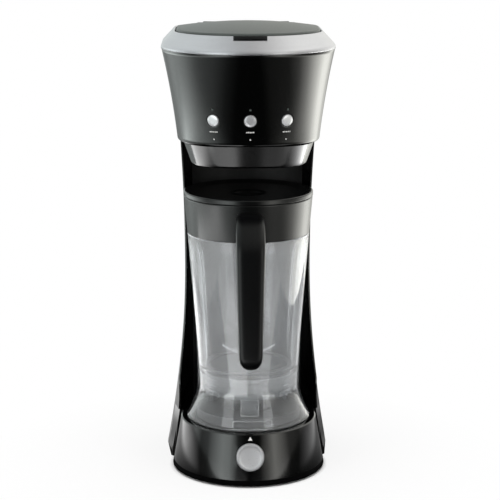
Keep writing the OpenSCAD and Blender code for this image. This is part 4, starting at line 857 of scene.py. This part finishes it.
# Collar and handle: satin black mouldings. The collar is bonded round the jar's neck. The handle bows out of
# it at the front, drops straight down with a flat face and soft corners, and ends in a rounded tip.
collar_black = finish("collar_black", (0.002, 0.0022, 0.0022), (0.0034, 0.0036, 0.0036), (0.16, 0.24), 0.9,
                      0.006, worn=0.6, IOR=1.46)
collar_in, collar_out, collar_z = jar_neck_r + seam, 60.4, 264
profile = eased([(collar_in, shoulder_z, 0.2), (shoulder_r, shoulder_z, 0.5), (58.9, 246.5, 0),
                 (collar_out, collar_z, 0.7), (collar_in, collar_z, 0.3)])
collar = moulding("collar", turned(profile, steps=128, ends="joined"), collar_black)
mirrored_only_by(fitted(collar, "pitcher", "gloss_black", "pitcher_collar"), "collar_card")

handle_y, handle_t, handle_low, handle_bend, handle_bend_z, handle_tip = -83.0, 9.0, 117.0, 24.0, 224.0, 13.0
handle_low_w, handle_gain, handle_root, handle_square, handle_steps, tip_turn = 10.6, 2.6, -57.2, 0.42, 56, 88


def handle_w(z):
    """Half width of the handle at a height, a little wider at the top."""
    return handle_low_w + handle_gain * (min(z, handle_bend_z) - handle_low) / (handle_bend_z - handle_low)


def handle_ring(y, z, lean, half, thick):
    """A flat-faced, soft-cornered section of the handle, square to its centre line."""
    ring = []
    for k in range(handle_steps):
        a = tau * k / handle_steps
        across = half * copysign(abs(cos(a)) ** handle_square, cos(a))
        through = thick * copysign(abs(sin(a)) ** handle_square, sin(a))
        ring.append((across, y + through * cos(lean), z + through * sin(lean)))
    return ring


rings = []
for step in range(13):
    a = radians(tip_turn * (1 - step / 12))
    z = handle_low + handle_tip * (1 - sin(a))
    rings.append(handle_ring(handle_y, z, pi, handle_w(z) * cos(a), handle_t * cos(a)))
rings += [handle_ring(handle_y, z, pi, handle_w(z), handle_t) for z in range(134, 224, 5)]
for step in range(19):
    a = radians(5 * step)
    rings.append(handle_ring(handle_y + handle_bend * (1 - cos(a)), handle_bend_z + handle_bend * sin(a),
                             pi - a, handle_w(handle_bend_z), handle_t))
rings.append(handle_ring(handle_root, handle_bend_z + handle_bend, pi / 2, handle_w(handle_bend_z), handle_t))
fitted(moulding("handle", skin(rings, "capped"), matte_black), "pitcher", "matte_black", "pitcher_handle")


# Pitcher lid: a black cap with a dished top and a round inlet under the outlet. Its plug and soft gasket press
# into the jar's neck, and it lifts straight off.
inlet_r, inlet_out, inlet_z, plug_in, plug_r, plug_z = 15, 17, 256.4, 48.6, 51.2, 252.4
cap_r, cap_z, cap_low, cap_under = 60.7, 269, 264.4, 263.4
profile = eased([
    (inlet_r, inlet_z, 0.3), (inlet_out, inlet_z, 0.3), (inlet_out, cap_under, 0.5), (plug_in, cap_under, 0.5),
    (plug_in, plug_z, 0.4), (plug_r, plug_z, 0.6), (plug_r, cap_low, 0.2), (cap_r, cap_low, 0.4),
    (cap_r, cap_z, 1.0), (55.7, cap_z, 0.8), (plug_in, 267, 1.5), (17.6, 265.9, 1.0), (inlet_r, cap_low, 0.4)])
fitted(moulding("pitcher_cap", turned(profile, steps=128, ends="joined"), collar_black), "pitcher_cover",
       "gloss_black", "pitcher_lid")


# The rest keeps its CAD shape inside the housing, under the lid and in the jar's foot: brewing parts, hoses,
# switches and motor, each with the finish of its own material.
kept = dict(
    seal_grey=finish("seal_grey_silicone", (0.24, 0.24, 0.25), (0.28, 0.28, 0.29), (0.5, 0.65), 0.5, 0.02),
    shaft_steel=finish("ground_steel", (0.6, 0.61, 0.62), (0.52, 0.53, 0.54), (0.16, 0.3), 0.5, 0.004,
                       worn=0.3, stretch=(1, 1, 10), Metallic=1.0),
    bush_brass=finish("bearing_brass", (0.62, 0.43, 0.16), (0.55, 0.37, 0.13), (0.22, 0.38), 0.6, 0.006,
                      worn=0.3, Metallic=1.0),
    magnet_iron=finish("magnet_iron", (0.09, 0.09, 0.095), (0.13, 0.13, 0.135), (0.45, 0.6), 0.5, 0.02,
                       worn=0.3, Metallic=0.7),
    coupling_plastic=finish("coupling_nylon", (0.04, 0.04, 0.042), (0.055, 0.055, 0.058), (0.4, 0.55), 0.5,
                            0.015, worn=0.5),
    filter_mesh=finish("filter_weave", (0.50, 0.46, 0.36), (0.42, 0.38, 0.3), (0.45, 0.65), 0.35, 0.12),
    tank_plastic=finish("smoked_tank", (0.10, 0.115, 0.12), (0.13, 0.145, 0.15), (0.16, 0.28), 1.0, 0.006,
                        worn=0.3),
    heater_aluminium=finish("cast_aluminium", (0.58, 0.59, 0.6), (0.48, 0.49, 0.5), (0.36, 0.55), 0.7, 0.03,
                            worn=0.3, Metallic=1.0),
    hose_silicone=finish("milky_silicone", (0.66, 0.63, 0.56), (0.58, 0.55, 0.49), (0.4, 0.55), 0.8, 0.01),
    switch_plastic=finish("switch_plastic", (0.05, 0.05, 0.052), (0.07, 0.07, 0.072), (0.35, 0.5), 0.5, 0.01,
                          worn=0.4),
    board_green=finish("board_green", (0.02, 0.13, 0.06), (0.03, 0.17, 0.08), (0.3, 0.5), 0.5, 0.02, worn=0.2),
    matte_black=matte_black, gloss_black=gloss_black, rubber_dark=rubber_dark, screw_steel=screw_steel)
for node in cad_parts.values():
    for slot in node.material_slots:
        if slot.material.name in kept:
            slot.material = kept[slot.material.name]
